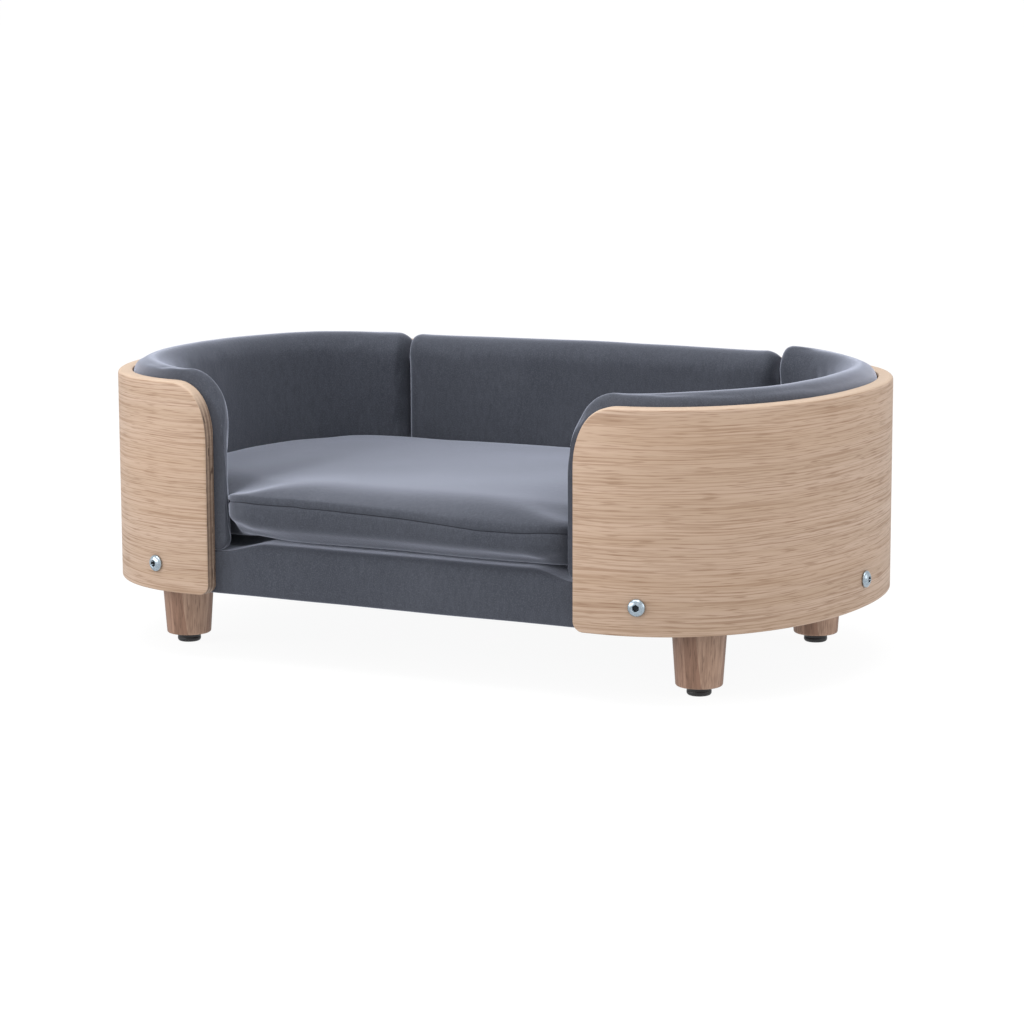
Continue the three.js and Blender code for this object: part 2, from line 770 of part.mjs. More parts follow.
// Legs
for (const [place, x, y] of LEG_PLACES) {
  const pieces = [
    addPart(`${place}_leg`, legBody(), "legWood"),
    addPart(`${place}_glide`, glideBody(), "blackPlastic"),
    addPart(`${place}_hanger_bolt`, hangerBolt(), "zinc"),
  ];
  for (const piece of pieces) piece.position.set(x, y, 0);
  const insert = addPart(`${place}_leg_insert`, insertBody(HANGER.top - RIM_BOTTOM), "zinc");
  insert.position.set(x, y, RIM_BOTTOM + FIT_GAP);
}

// Panel bolts and the inserts they screw into
for (const { name, head, inward } of PANEL_BOLTS) {
  const up = new THREE.Vector3(0, 0, 1);
  const outward = inward.clone().negate();
  const bolt = addPart(`${name}_bolt`, panelBolt(), "zinc");
  bolt.quaternion.setFromUnitVectors(up, outward);
  bolt.position.copy(head).addScaledVector(outward, FIT_GAP);
  const insert = addPart(`${name}_bolt_insert`, insertBody(INSERT.length), "zinc");
  insert.quaternion.setFromUnitVectors(up, inward);
  insert.position.copy(head).addScaledVector(inward, CORE_INSET + INSERT.recess);
}

export default bed;
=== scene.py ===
"""Looks of the raised dog bed: bent-plywood panels, velvet pads, a padded platform and a loose cushion.

Metres, +Z up, +X to the bed's right, front at -Y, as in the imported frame.
"""

import json
import math

import bpy
import numpy as np
from mathutils import Matrix, Vector, noise

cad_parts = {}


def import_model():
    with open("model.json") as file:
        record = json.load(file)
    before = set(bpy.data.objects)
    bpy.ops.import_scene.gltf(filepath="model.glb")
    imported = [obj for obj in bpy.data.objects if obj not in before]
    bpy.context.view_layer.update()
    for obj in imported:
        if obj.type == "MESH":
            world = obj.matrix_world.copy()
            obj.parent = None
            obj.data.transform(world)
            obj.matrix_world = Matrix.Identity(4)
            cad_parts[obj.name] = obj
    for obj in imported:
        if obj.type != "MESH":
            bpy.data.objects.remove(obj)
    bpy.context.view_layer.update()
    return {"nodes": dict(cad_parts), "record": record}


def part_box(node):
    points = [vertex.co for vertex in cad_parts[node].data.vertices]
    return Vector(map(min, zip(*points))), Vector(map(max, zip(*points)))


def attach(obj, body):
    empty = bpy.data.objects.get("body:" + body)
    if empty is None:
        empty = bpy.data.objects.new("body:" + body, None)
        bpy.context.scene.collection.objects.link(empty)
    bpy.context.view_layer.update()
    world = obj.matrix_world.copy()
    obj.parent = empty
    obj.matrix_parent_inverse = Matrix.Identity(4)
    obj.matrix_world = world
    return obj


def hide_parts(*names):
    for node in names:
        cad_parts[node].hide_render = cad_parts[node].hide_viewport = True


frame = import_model()
MM = 0.001

# ---- Dimensions read from the frame ----

_panel_low, _panel_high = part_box("right_side_panel")
_back_low, _back_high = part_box("back_panel")
_pad_low, _pad_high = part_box("back_pad_cover")
_side_pad_low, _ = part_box("right_pad_cover")
_cushion_low, _cushion_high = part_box("cushion_cover")
_base_low, _base_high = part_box("base_cover")

HALF_LENGTH = _panel_high.x
HALF_DEPTH = _panel_high.y
PANEL_BOTTOM, PANEL_TOP = _panel_low.z, _panel_high.z
PANEL_THICKNESS = _back_high.y - _back_low.y
ARM_END_X = _panel_low.x
JOINT_X = _back_high.x
PAD_BOTTOM = _pad_low.z
PAD_FACE = HALF_DEPTH - _pad_high.y
PAD_THICKNESS = _pad_high.y - _pad_low.y
PAD_TIP_X = _side_pad_low.x
BACK_PAD_HALF = _pad_high.x
CUSHION_BOTTOM = _cushion_low.z
CUSHION_FRONT = -_cushion_low.y
BASE_BOTTOM, BASE_TOP = _base_low.z, _base_high.z
BASE_INSET = HALF_LENGTH - _base_high.x

# ---- Shape constants ----

END_LENGTH = 144.5 * MM  # plan length of each rounded end
END_EXPONENT = 2.15
PANEL_CORNER = (37 * MM, 53 * MM, 2.4)  # reach, drop and exponent of a front arm's top corner
PAD_FRONT_CORNER = (41 * MM, 55 * MM, 2.3)
PAD_BACK_CORNER = (13 * MM, 10 * MM, 2.0)
PAD_TIP_THICKNESS = 14 * MM
PAD_TAPER = 110 * MM
PAD_REACH = 6 * MM  # how far the stuffed pad tips stand past the plain ones
LEDGE_DROP = 8 * MM  # the platform under the pads lies this far below its padded middle
SEAM_Z = 132 * MM
GAP = 0.4 * MM
BOLT_HEAD_HEIGHT = 4.3 * MM
HEX_FLATS = 5 * MM


def smoothstep(low, high, value):
    x = np.clip((np.asarray(value, float) - low) / (high - low), 0, 1)
    return x * x * (3 - 2 * x)


# ---- Plan outline ----

STRAIGHT_X = HALF_LENGTH - END_LENGTH


def quarter_turn(count):
    return np.linspace(0, math.pi / 2, count)


def quarter_outline(count=3000):
    """Points from the middle of the right side round to the straight, and the run to each."""
    angle = quarter_turn(count)
    power = 2 / END_EXPONENT
    points = np.stack([END_LENGTH * np.cos(angle) ** power, HALF_DEPTH * np.sin(angle) ** power], 1)
    steps = np.linalg.norm(np.diff(points, axis=0), axis=1)
    return points, np.concatenate([[0], np.cumsum(steps)])


QUARTER_POINTS, QUARTER_RUNS = quarter_outline()
QUARTER = QUARTER_RUNS[-1]  # outline length from the middle of a side to the straight


def outline(run):
    """Outer outline of the right side: x, y and the inward normal. Run is 0 at the side's middle."""
    run = np.asarray(run, float)
    way = np.where(run < 0, -1.0, 1.0)
    distance = np.abs(run)
    across = np.interp(distance, QUARTER_RUNS, QUARTER_POINTS[:, 0])
    deep = np.interp(distance, QUARTER_RUNS, QUARTER_POINTS[:, 1])
    slope_x = (across / END_LENGTH) ** (END_EXPONENT - 1) / END_LENGTH
    slope_y = (deep / HALF_DEPTH) ** (END_EXPONENT - 1) / HALF_DEPTH
    length = np.hypot(slope_x, slope_y)
    x = STRAIGHT_X + across - np.maximum(distance - QUARTER, 0)
    return x, way * deep, -slope_x / length, -way * slope_y / length


def front_run(x):
    """Run of the point at x on the front straight."""
    return -(QUARTER + STRAIGHT_X - x)


def back_run(x):
    """Run of the point at x on the back straight."""
    return QUARTER + STRAIGHT_X - x


def corner_drop(distance, corner):
    """How far a wall's top comes down at a distance from its end."""
    reach, drop, exponent = corner
    across = np.clip((reach - np.asarray(distance, float)) / reach, 0, 1)
    return drop * (1 - (1 - across**exponent) ** (1 / exponent))


def round_rise(distance, radius):
    """How far a rounded edge draws back at a distance from its tip."""
    left = np.clip(radius - np.asarray(distance, float), 0, radius)
    return radius - np.sqrt(radius**2 - left**2)


# ---- Mesh building ----


def mesh_object(name, points, faces):
    mesh = bpy.data.meshes.new(name)
    mesh.from_pydata([tuple(p) for p in points], [], [tuple(f) for f in faces])
    mesh.update()
    mesh.polygons.foreach_set("use_smooth", [True] * len(mesh.polygons))
    obj = bpy.data.objects.new(name, mesh)
    bpy.context.scene.collection.objects.link(obj)
    return obj


def ladder(first, count):
    """Quads across a convex ring of points, rung by rung."""
    faces = []
    for i in range((count - 1) // 2):
        near, far = first + i, first + count - 1 - i
        rung = [near, near + 1, far - 1, far]
        faces.append(rung if near + 1 != far - 1 else rung[:2] + [far])
    return faces


def ring_faces(rows, count, flip=False):
    """Quads between rows of rings, closed round each ring, with a cap on each end."""
    faces = []
    for r in range(rows - 1):
        for i in range(count):
            j = (i + 1) % count
            faces.append([r * count + i, r * count + j, (r + 1) * count + j, (r + 1) * count + i])
    faces += [cap[::-1] for cap in ladder(0, count)] + ladder((rows - 1) * count, count)
    return [face[::-1] for face in faces] if flip else faces


def set_wall_attribute(obj, coordinates):
    """Per-point coordinates for the materials: run along the wall, inset from its face, height."""
    attribute = obj.data.attributes.new("wall", "FLOAT_VECTOR", "POINT")
    attribute.data.foreach_set("vector", np.asarray(coordinates, np.float32).ravel())

# Sets the grain of the three walls apart.
GRAIN_SHIFT = 1.0


def side_wall(name, stations, sections, mirror):
    """Closed wall piece along the rounded side. sections holds (inset, z) for each station."""
    stations = np.asarray(stations)
    count = sections.shape[1]
    x, y, nx, ny = (v[:, None] for v in outline(stations))
    inset, z = sections[:, :, 0], sections[:, :, 1]
    points = np.stack([mirror * (x + nx * inset), y + ny * inset, z], 2)
    obj = mesh_object(name, points.reshape(-1, 3), ring_faces(len(stations), count, mirror > 0))
    run = np.broadcast_to(stations[:, None], inset.shape)
    set_wall_attribute(obj, np.stack([mirror * run + mirror * GRAIN_SHIFT, inset, z], 2))
    return obj


def back_wall(name, stations, sections):
    stations = np.asarray(stations)
    count = sections.shape[1]
    inset, z = sections[:, :, 0], sections[:, :, 1]
    x = np.broadcast_to(stations[:, None], inset.shape)
    points = np.stack([x, HALF_DEPTH - inset, z], 2)
    obj = mesh_object(name, points.reshape(-1, 3), ring_faces(len(stations), count))
    set_wall_attribute(obj, np.stack([x, inset, z], 2))
    return obj


def rounded_rectangle(low, high, bottom, top, radii, steps=5):
    """Points of a rectangle with rounded corners, clockwise from the lower outer corner."""
    corners = [(low, bottom, 1, 1), (low, top, 1, -1), (high, top, -1, -1), (high, bottom, -1, 1)]
    points = []
    for (x, z, sx, sz), radius, turn in zip(corners, radii, (0, 1, 2, 3)):
        for k in range(steps):
            angle = math.pi * 1.5 - turn * math.pi / 2 - (k / (steps - 1)) * math.pi / 2
            cx, cz = x + sx * radius, z + sz * radius
            points.append((cx + radius * math.cos(angle), cz + radius * math.sin(angle)))
    return points


def subdivide(obj, levels=1):
    modifier = obj.modifiers.new("Subdivision", "SUBSURF")
    modifier.levels = levels
    modifier.render_levels = levels


# ---- Cloth ----


def read_vectors(data, field):
    values = np.zeros(len(data) * 3)
    data.foreach_get(field, values)
    return values.reshape(-1, 3)


def coordinates(obj):
    return read_vectors(obj.data.vertices, "co")


def set_coordinates(obj, points):
    obj.data.vertices.foreach_set("co", np.asarray(points, np.float32).ravel())
    obj.data.update()


CLOTH_FRAMES, CLOTH_STIFFNESS = 20, 12.0


def add_cloth(obj, group_name):
    modifier = obj.modifiers.new("Cloth", "CLOTH")
    settings = modifier.settings
    settings.quality = 6
    settings.mass = 0.2
    settings.tension_stiffness = CLOTH_STIFFNESS
    settings.compression_stiffness = CLOTH_STIFFNESS
    settings.shear_stiffness = CLOTH_STIFFNESS / 2
    settings.bending_stiffness = 0.6
    settings.use_pressure = True
    settings.uniform_pressure_force = 4.0
    settings.effector_weights.gravity = 0
    settings.vertex_group_mass = group_name
    modifier.collision_settings.use_collision = False
    return modifier


def inflate(obj, held, most):
    """Swells a closed cover by cloth simulation. Held points stay; others move at most that far."""
    start = coordinates(obj)
    group = obj.vertex_groups.new(name="held")
    group.add([int(i) for i in np.nonzero(held)[0]], 1.0, "REPLACE")
    modifier = add_cloth(obj, group.name)
    scene = bpy.context.scene
    for number in range(1, CLOTH_FRAMES + 1):
        scene.frame_set(number)
    evaluated = obj.evaluated_get(bpy.context.evaluated_depsgraph_get())
    swollen = coordinates(evaluated)
    scene.frame_set(1)
    obj.modifiers.remove(modifier)
    obj.vertex_groups.remove(group)
    move = swollen - start
    length = np.linalg.norm(move, axis=1, keepdims=True)
    set_coordinates(obj, start + move * np.minimum(1, most / np.maximum(length, 1e-9)))


def ripple(points, scale, amount, seed=0.0):
    """Smooth noise value at each point, for slight unevenness of fabric."""
    shift = Vector((seed, seed * 0.37, -seed))
    return amount * np.array([noise.noise(Vector(p) * scale + shift) for p in points])


def roughen(obj, scale, amount, seed):
    """Moves the points in and out by smooth noise."""
    points = coordinates(obj)
    shift = ripple(points, scale, amount, seed)
    normals = read_vectors(obj.data.vertices, "normal")
    set_coordinates(obj, points + normals * shift[:, None])


# ---- Materials ----


class Shader:
    """A material with a Principled shader and short calls for adding nodes."""

    def __init__(self, name, roughness=0.5, metallic=0.0, **sockets):
        self.material = bpy.data.materials.new(name)
        self.material.use_nodes = True
        self.tree = self.material.node_tree
        self.bsdf = self.tree.nodes["Principled BSDF"]
        self.bsdf.inputs["Roughness"].default_value = roughness
        self.bsdf.inputs["Metallic"].default_value = metallic
        for socket, value in sockets.items():
            self.bsdf.inputs[socket.replace("_", " ")].default_value = value

    def node(self, kind, inputs=(), **properties):
        made = self.tree.nodes.new(kind)
        for key, value in properties.items():
            setattr(made, key, value)
        for key, value in dict(inputs).items():
            if isinstance(value, bpy.types.NodeSocket):
                self.tree.links.new(value, made.inputs[key])
            else:
                made.inputs[key].default_value = value
        return made

    def wall(self):
        return self.node("ShaderNodeAttribute", attribute_name="wall").outputs["Vector"]

    def place(self):
        return self.node("ShaderNodeTexCoord").outputs["Object"]

    def stretched(self, vector, scale):
        return self.node("ShaderNodeMapping", {"Vector": vector, "Scale": scale}).outputs[0]

    def noise(self, vector, scale, detail=2.0, rough=0.5, distortion=0.0):
        values = {
            "Vector": vector, "Scale": scale, "Detail": detail,
            "Roughness": rough, "Distortion": distortion,
        }
        return self.node("ShaderNodeTexNoise", values).outputs["Fac"]

    def drawn(self, vector, scale, detail=2.0, rough=0.5, distortion=0.0):
        """Noise drawn out by a scale on each axis."""
        return self.noise(self.stretched(vector, scale), 1.0, detail, rough, distortion)

    def ramp(self, value, stops, interpolation="LINEAR"):
        made = self.node("ShaderNodeValToRGB", {"Fac": value})
        made.color_ramp.interpolation = interpolation
        elements = made.color_ramp.elements
        while len(elements) < len(stops):
            elements.new(0.5)
        for element, (position, color) in zip(elements, stops):
            element.position = position
            element.color = (*color, 1) if len(color) == 3 else color
        return made.outputs["Color"]

    def grey(self, value, low, high, top=1.0, bottom=0.0):
        inputs = {"Value": value, "From Min": low, "From Max": high, "To Min": bottom, "To Max": top}
        return self.node("ShaderNodeMapRange", inputs, clamp=True).outputs["Result"]

    def math(self, operation, a, b):
        return self.node("ShaderNodeMath", {0: a, 1: b}, operation=operation).outputs[0]

    def mix(self, factor, a, b):
        a, b = [(*value, 1) if isinstance(value, tuple) else value for value in (a, b)]
        return self.node("ShaderNodeMix", {0: factor, 6: a, 7: b}, data_type="RGBA").outputs[2]

    def color(self, value):
        self.tree.links.new(value, self.bsdf.inputs["Base Color"])

    def roughness(self, value):
        self.tree.links.new(value, self.bsdf.inputs["Roughness"])

    def bump(self, height, strength, distance):
        inputs = {"Height": height, "Strength": strength, "Distance": distance}
        made = self.node("ShaderNodeBump", inputs)
        self.tree.links.new(made.outputs["Normal"], self.bsdf.inputs["Normal"])


def oak_color(mat, place):
    """Oak veneer with its grain along the first coordinate of place."""
    drift = mat.drawn(place, (1.6, 1, 26), 2.0)
    waves = mat.drawn(place, (10, 1, 14), 1.0)
    sway = mat.math("MULTIPLY", waves, 4 * MM)
    lift = mat.node("ShaderNodeCombineXYZ", {"Z": sway})
    wavy = mat.node("ShaderNodeVectorMath", {0: place, 1: lift.outputs[0]}).outputs[0]
    bands = mat.drawn(wavy, (1.8, 1, 110), 2.0, 0.5)
    fine = mat.drawn(wavy, (9, 1, 800), 2.0, 0.5)
    pores = mat.drawn(wavy, (40, 1, 1050), 1.0, 0.5)
    middle, light = (0.505, 0.360, 0.260), (0.565, 0.412, 0.312)
    base = mat.ramp(bands, [(0.33, middle), (0.62, light)])
    streaks = mat.grey(fine, 0.47, 0.64)
    grained = mat.mix(mat.math("MULTIPLY", streaks, 0.72), base, (0.335, 0.21, 0.135))
    spots = mat.grey(pores, 0.55, 0.7, 0.65)
    pored = mat.mix(spots, grained, (0.25, 0.14, 0.08))
    warm = mat.grey(drift, 0.4, 0.65, 0.2)
    return mat.mix(warm, pored, (0.50, 0.325, 0.205)), fine, pores


def plywood_material():
    mat = Shader("oak_plywood", roughness=0.5, Specular_IOR_Level=0.35)
    wall = mat.wall()
    veneer, fine, pores = oak_color(mat, wall)
    parts = mat.node("ShaderNodeSeparateXYZ", {"Vector": wall})
    depth = mat.math("DIVIDE", parts.outputs["Y"], PANEL_THICKNESS)
    grit = mat.drawn(wall, (420, 60, 420), 3.0, 0.7)
    wavy = mat.math("ADD", depth, mat.math("MULTIPLY", grit, 0.02))
    brown, tan, pale = (0.22, 0.15, 0.11), (0.39, 0.285, 0.215), (0.52, 0.39, 0.285)
    stops = [
        (0.0, pale), (0.07, brown), (0.23, tan), (0.41, brown),
        (0.60, tan), (0.78, brown), (0.94, pale),
    ]
    layers = mat.ramp(wavy, stops, "CONSTANT")
    rough_layers = mat.mix(mat.grey(grit, 0.35, 0.7, 0.45), layers, (0.14, 0.09, 0.06))
    voids = mat.drawn(wall, (90, 500, 90), 0.0)
    end_grain = mat.mix(mat.grey(voids, 0.72, 0.76, 0.85), rough_layers, (0.05, 0.03, 0.02))
    sanded = mat.mix(mat.grey(grit, 0.3, 0.7, 0.3), (0.58, 0.44, 0.33), (0.42, 0.29, 0.20))
    upper = mat.grey(parts.outputs["Z"], PANEL_TOP - 26 * MM, PANEL_TOP - 8 * MM)
    edge = mat.mix(upper, end_grain, sanded)
    inside = mat.math("LESS_THAN", depth, 0.955)
    within = mat.math("MULTIPLY", mat.math("GREATER_THAN", depth, 0.045), inside)
    mat.color(mat.mix(within, veneer, edge))
    height = mat.math("SUBTRACT", mat.math("MULTIPLY", fine, -1.0), pores)
    mat.bump(height, 0.25, 0.12 * MM)
    mat.roughness(mat.grey(fine, 0.3, 0.7, 0.6, 0.42))
    return mat.material


def velvet_material():
    """Short-pile velvet: fine pile in the bump, soft brushed patches, and painted shade in a seam's
    groove.
    """
    mat = Shader("velvet", roughness=0.85, Specular_IOR_Level=0.12)
    mat.bsdf.inputs["Sheen Weight"].default_value = 1.0
    mat.bsdf.inputs["Sheen Roughness"].default_value = 0.40
    mat.bsdf.inputs["Sheen Tint"].default_value = (0.78, 0.83, 1.0, 1)
    place = mat.place()
    patches = mat.noise(place, 9.0, 3.0, 0.55, 0.6)
    streaks = mat.noise(mat.stretched(place, (1, 1, 0.35)), 260.0, 2.0, 0.6)
    pile = mat.noise(place, 1000.0, 2.0, 0.6)
    base = mat.ramp(patches, [(0.3, (0.050, 0.055, 0.070)), (0.7, (0.069, 0.075, 0.093))])
    brushed = mat.mix(mat.grey(streaks, 0.35, 0.7, 0.35), base, (0.032, 0.035, 0.045))
    tips = mat.mix(mat.grey(pile, 0.45, 0.7, 0.5), brushed, (0.10, 0.108, 0.13))
    # Painted shade: the seam's groove is coloured near-black where the seam attribute is set.
    groove = mat.node("ShaderNodeAttribute", attribute_name="seam").outputs["Fac"]
    mat.color(mat.mix(mat.grey(groove, 0.55, 1.0, 0.85), tips, (0.006, 0.006, 0.008)))
    mat.bump(mat.math("ADD", pile, streaks), 0.3, 0.4 * MM)
    return mat.material


def leg_material():
    """Glued strips of brown wood with upright grain."""
    mat = Shader("leg_wood", roughness=0.5, Specular_IOR_Level=0.4)
    place = mat.place()
    turned = mat.node("ShaderNodeMapping", {"Vector": place, "Rotation": (0, 0, 0.6)}).outputs[0]
    parts = mat.node("ShaderNodeSeparateXYZ", {"Vector": turned})
    strip = mat.math("FLOOR", mat.math("MULTIPLY", parts.outputs["X"], 1 / (8.5 * MM)), 0)
    tone = mat.node("ShaderNodeTexWhiteNoise", {"W": strip}, noise_dimensions="1D")
    shift = mat.node("ShaderNodeCombineXYZ", {"X": strip, "Y": strip})
    moved = mat.node("ShaderNodeVectorMath", {0: place, 1: shift.outputs[0]}).outputs[0]
    grain = mat.drawn(moved, (330, 330, 16), 4.0, 0.65, 0.4)
    pores = mat.drawn(moved, (900, 900, 60), 1.0)
    base = mat.ramp(
        tone.outputs["Value"],
        [(0.0, (0.28, 0.158, 0.106)), (0.5, (0.38, 0.225, 0.158)), (1.0, (0.49, 0.325, 0.235))],
    )
    grained = mat.mix(mat.grey(grain, 0.42, 0.7, 0.65), base, (0.15, 0.082, 0.052))
    mat.color(mat.mix(mat.grey(pores, 0.6, 0.72, 0.5), grained, (0.09, 0.05, 0.032)))
    mat.roughness(mat.grey(grain, 0.3, 0.7, 0.58, 0.42))
    mat.bump(mat.math("ADD", grain, pores), 0.2, 0.15 * MM)
    return mat.material


def zinc_material():
    """Bright bluish zinc plate with faint blotches and turning marks, and painted shade in the hex
    socket.
    """
    mat = Shader("zinc_steel", roughness=0.25, metallic=1.0)
    place = mat.place()
    blotch = mat.noise(place, 420.0, 3.0, 0.6)
    plate = mat.ramp(blotch, [(0.3, (0.33, 0.41, 0.48)), (0.7, (0.56, 0.65, 0.72))])
    parts = mat.node("ShaderNodeSeparateXYZ", {"Vector": place})
    flat = mat.node("ShaderNodeCombineXYZ", {"X": parts.outputs["X"], "Y": parts.outputs["Y"]})
    radius = mat.node("ShaderNodeVectorMath", {0: flat.outputs[0]}, operation="LENGTH")
    # Painted shade: near-black inside the hex socket, below its rim and near the bolt's axis.
    near_axis = mat.math("LESS_THAN", radius.outputs["Value"], HEX_FLATS / 2 + 0.2 * MM)
    below_rim = mat.math("LESS_THAN", parts.outputs["Z"], BOLT_HEAD_HEIGHT - 0.4 * MM)
    above_base = mat.math("GREATER_THAN", parts.outputs["Z"], 0.5 * MM)
    socket_shade = mat.math("MULTIPLY", near_axis, mat.math("MULTIPLY", below_rim, above_base))
    mat.color(mat.mix(socket_shade, plate, (0.03, 0.035, 0.04)))
    mat.roughness(mat.grey(blotch, 0.3, 0.7, 0.34, 0.16))
    mat.bump(mat.noise(place, 2600.0, 2.0), 0.12, 0.05 * MM)
    return mat.material


def plastic_material():
    mat = Shader("black_plastic", roughness=0.42)
    place = mat.place()
    speck = mat.noise(place, 900.0, 3.0)
    mat.color(mat.ramp(speck, [(0.3, (0.008, 0.008, 0.009)), (0.7, (0.016, 0.016, 0.018))]))
    mat.roughness(mat.grey(speck, 0.3, 0.7, 0.52, 0.36))
    mat.bump(speck, 0.2, 0.05 * MM)
    return mat.material


def raw_wood_material():
    mat = Shader("frame_wood", roughness=0.75)
    place = mat.place()
    grain = mat.drawn(place, (12, 300, 300), 4.0, 0.6, 0.3)
    mat.color(mat.ramp(grain, [(0.3, (0.62, 0.46, 0.28)), (0.7, (0.40, 0.26, 0.13))]))
    mat.bump(grain, 0.3, 0.2 * MM)
    return mat.material


def foam_material():
    mat = Shader("foam", roughness=1.0, Specular_IOR_Level=0.1)
    cells = mat.node("ShaderNodeTexVoronoi", {"Vector": mat.place(), "Scale": 700.0})
    distance = cells.outputs["Distance"]
    mat.color(mat.ramp(distance, [(0.1, (0.55, 0.50, 0.36)), (0.7, (0.86, 0.81, 0.64))]))
    mat.bump(distance, 0.5, 0.4 * MM)
    return mat.material


def black_cloth_material():
    """Black non-woven cloth with its pressed dots."""
    mat = Shader("black_cloth", roughness=0.95, Specular_IOR_Level=0.15)
    place = mat.place()
    dots = mat.node("ShaderNodeTexVoronoi", {"Vector": place, "Scale": 520.0})
    fibres = mat.noise(place, 800.0, 4.0, 0.7)
    mat.color(mat.ramp(fibres, [(0.3, (0.010, 0.010, 0.011)), (0.7, (0.035, 0.035, 0.037))]))
    mat.bump(dots.outputs["Distance"], 0.35, 0.2 * MM)
    return mat.material


MATERIALS = {
    "oak_plywood": plywood_material(),
    "velvet": velvet_material(),
    "leg_wood": leg_material(),
    "zinc_steel": zinc_material(),
    "black_plastic": plastic_material(),
    "frame_wood": raw_wood_material(),
    "foam": foam_material(),
    "black_cloth": black_cloth_material(),
}


def dress(obj, slot_name):
    """Gives a piece the material of its record slot."""
    obj.data.materials.clear()
    obj.data.materials.append(MATERIALS[slot_name])
    return obj


# ---- Panels ----

EDGE_EASE = 1.2 * MM
EASE_INWARD = 0.85  # share of the easing that also thins an arm's end
EDGE_RADII = (0.8 * MM, 3 * MM, 1.2 * MM, 0.8 * MM)  # from lower outer round to lower inner
ARM_FOOT_RADIUS = 9 * MM


def panel_sections(tops, bottoms, eases):
    sections = []
    for top, bottom, ease in zip(tops, bottoms, eases):
        low, high = ease, PANEL_THICKNESS - ease
        sections.append(rounded_rectangle(low, high, bottom, top, EDGE_RADII))
    return np.array(sections)


def side_panel(name, mirror):
    reach = PANEL_CORNER[0]
    front, back = front_run(ARM_END_X), back_run(JOINT_X + 2 * GAP)
    near = front + reach * (1 - np.cos(quarter_turn(22)))
    eased = front + EDGE_EASE * np.array([0.15, 0.4, 1.0])
    stations = np.unique(np.concatenate([near, eased, np.linspace(front + reach, back, 130)]))
    distance = stations - front
    tops = PANEL_TOP - corner_drop(distance, PANEL_CORNER) - round_rise(distance, EDGE_EASE)
    bottoms = PANEL_BOTTOM + round_rise(distance, ARM_FOOT_RADIUS)
    eases = round_rise(distance, EDGE_EASE) * EASE_INWARD
    obj = side_wall(name, stations, panel_sections(tops, bottoms, eases), mirror)
    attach(obj, "frame")
    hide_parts(name)
    return dress(obj, "oak_plywood")


def back_panel():
    stations = np.linspace(-JOINT_X, JOINT_X, 60)
    count = len(stations)
    sections = panel_sections([PANEL_TOP] * count, [PANEL_BOTTOM] * count, [0] * count)
    obj = back_wall("back_panel", stations, sections)
    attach(obj, "frame")
    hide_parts("back_panel")
    return dress(obj, "oak_plywood")


def sharpen(obj, degrees):
    """Smooth shading that keeps edges sharper than an angle."""
    with bpy.context.temp_override(object=obj, active_object=obj, selected_objects=[obj]):
        bpy.ops.object.shade_auto_smooth(angle=math.radians(degrees))


# ---- Pads ----

CROWN_HEIGHT = 19 * MM
CROWN_SHARE = 0.4  # at most this share of the height
FOOT_RADIUS = 8 * MM
FOOT_SHARE = 0.45  # and this share of the thickness
TIP_FOOT_RADIUS = 10 * MM
BACK_EASE = 1.5 * MM
CROWN_STEPS, FACE_STEPS, BACK_STEPS, FOOT_STEPS = 18, 22, 14, 6
PAD_END_REACH = 9 * MM
PAD_END_SHARE = 0.4  # of the full thickness
PAD_END_EXPONENT = 2.2
PAD_SLACK = 2.5 * MM  # left off the thickness, for the cover to swell into
PAD_SWELL = 2.0 * MM
NOTCH = 2.4 * MM  # between the back pad's end and a side pad's
CROWN_PLACES = (-1.05, -0.6, 0, 0.6, 1)  # run over QUARTER, from tip to rear
SIDE_CROWNS = (0.2455, 0.2475, 0.2480, 0.2470)  # the rear one is each pad's own
BACK_CROWNS = (0.2445, 0.2468, 0.2450)  # left end, middle and right end


def pad_section(thickness, crown, foot):
    """Section of a pad as (inset, z): back, crown, face and foot."""
    half = thickness / 2
    shoulder = crown - min(CROWN_HEIGHT, (crown - foot) * CROWN_SHARE)
    round_foot = min(FOOT_RADIUS, thickness * FOOT_SHARE)
    back = np.linspace(foot + BACK_EASE, shoulder, BACK_STEPS, endpoint=False)
    points = [(0.0, z) for z in back]
    for angle in np.linspace(0, math.pi, CROWN_STEPS):
        inset = half * (1 - math.cos(angle))
        points.append((inset, shoulder + (crown - shoulder) * math.sin(angle)))
    for z in np.linspace(shoulder, foot + round_foot, FACE_STEPS)[1:]:
        points.append((thickness, z))
    for angle in quarter_turn(FOOT_STEPS)[1:]:
        inset = thickness - round_foot * (1 - math.cos(angle))
        points.append((inset, foot + round_foot * (1 - math.sin(angle))))
    points.append(((thickness - round_foot) / 2, foot))
    points.append((BACK_EASE, foot))
    return [(PAD_FACE + inset, z) for inset, z in points]


def end_round(distance):
    """Share of the full thickness at a distance from a pad's end."""
    left = np.clip((PAD_END_REACH - np.asarray(distance, float)) / PAD_END_REACH, 0, 1)
    rounding = (1 - left**PAD_END_EXPONENT) ** (1 / PAD_END_EXPONENT)
    return PAD_END_SHARE + (1 - PAD_END_SHARE) * rounding


def pad_stations(front, back, front_reach, back_reach, count):
    near_front = front + front_reach * (1 - np.cos(quarter_turn(18)))
    near_back = back - back_reach * (1 - np.cos(quarter_turn(12)))
    middle = np.linspace(front + front_reach, back - back_reach, count)
    return np.unique(np.round(np.concatenate([near_front, middle, near_back]), 7))


def held_points(wall):
    """Points of a pad that are fixed to its board or rest on the platform."""
    at_back = (wall[:, 1] < PAD_FACE + 0.5 * MM) & (wall[:, 2] < PANEL_TOP)
    return at_back | (wall[:, 2] < PAD_BOTTOM + 1 * MM)


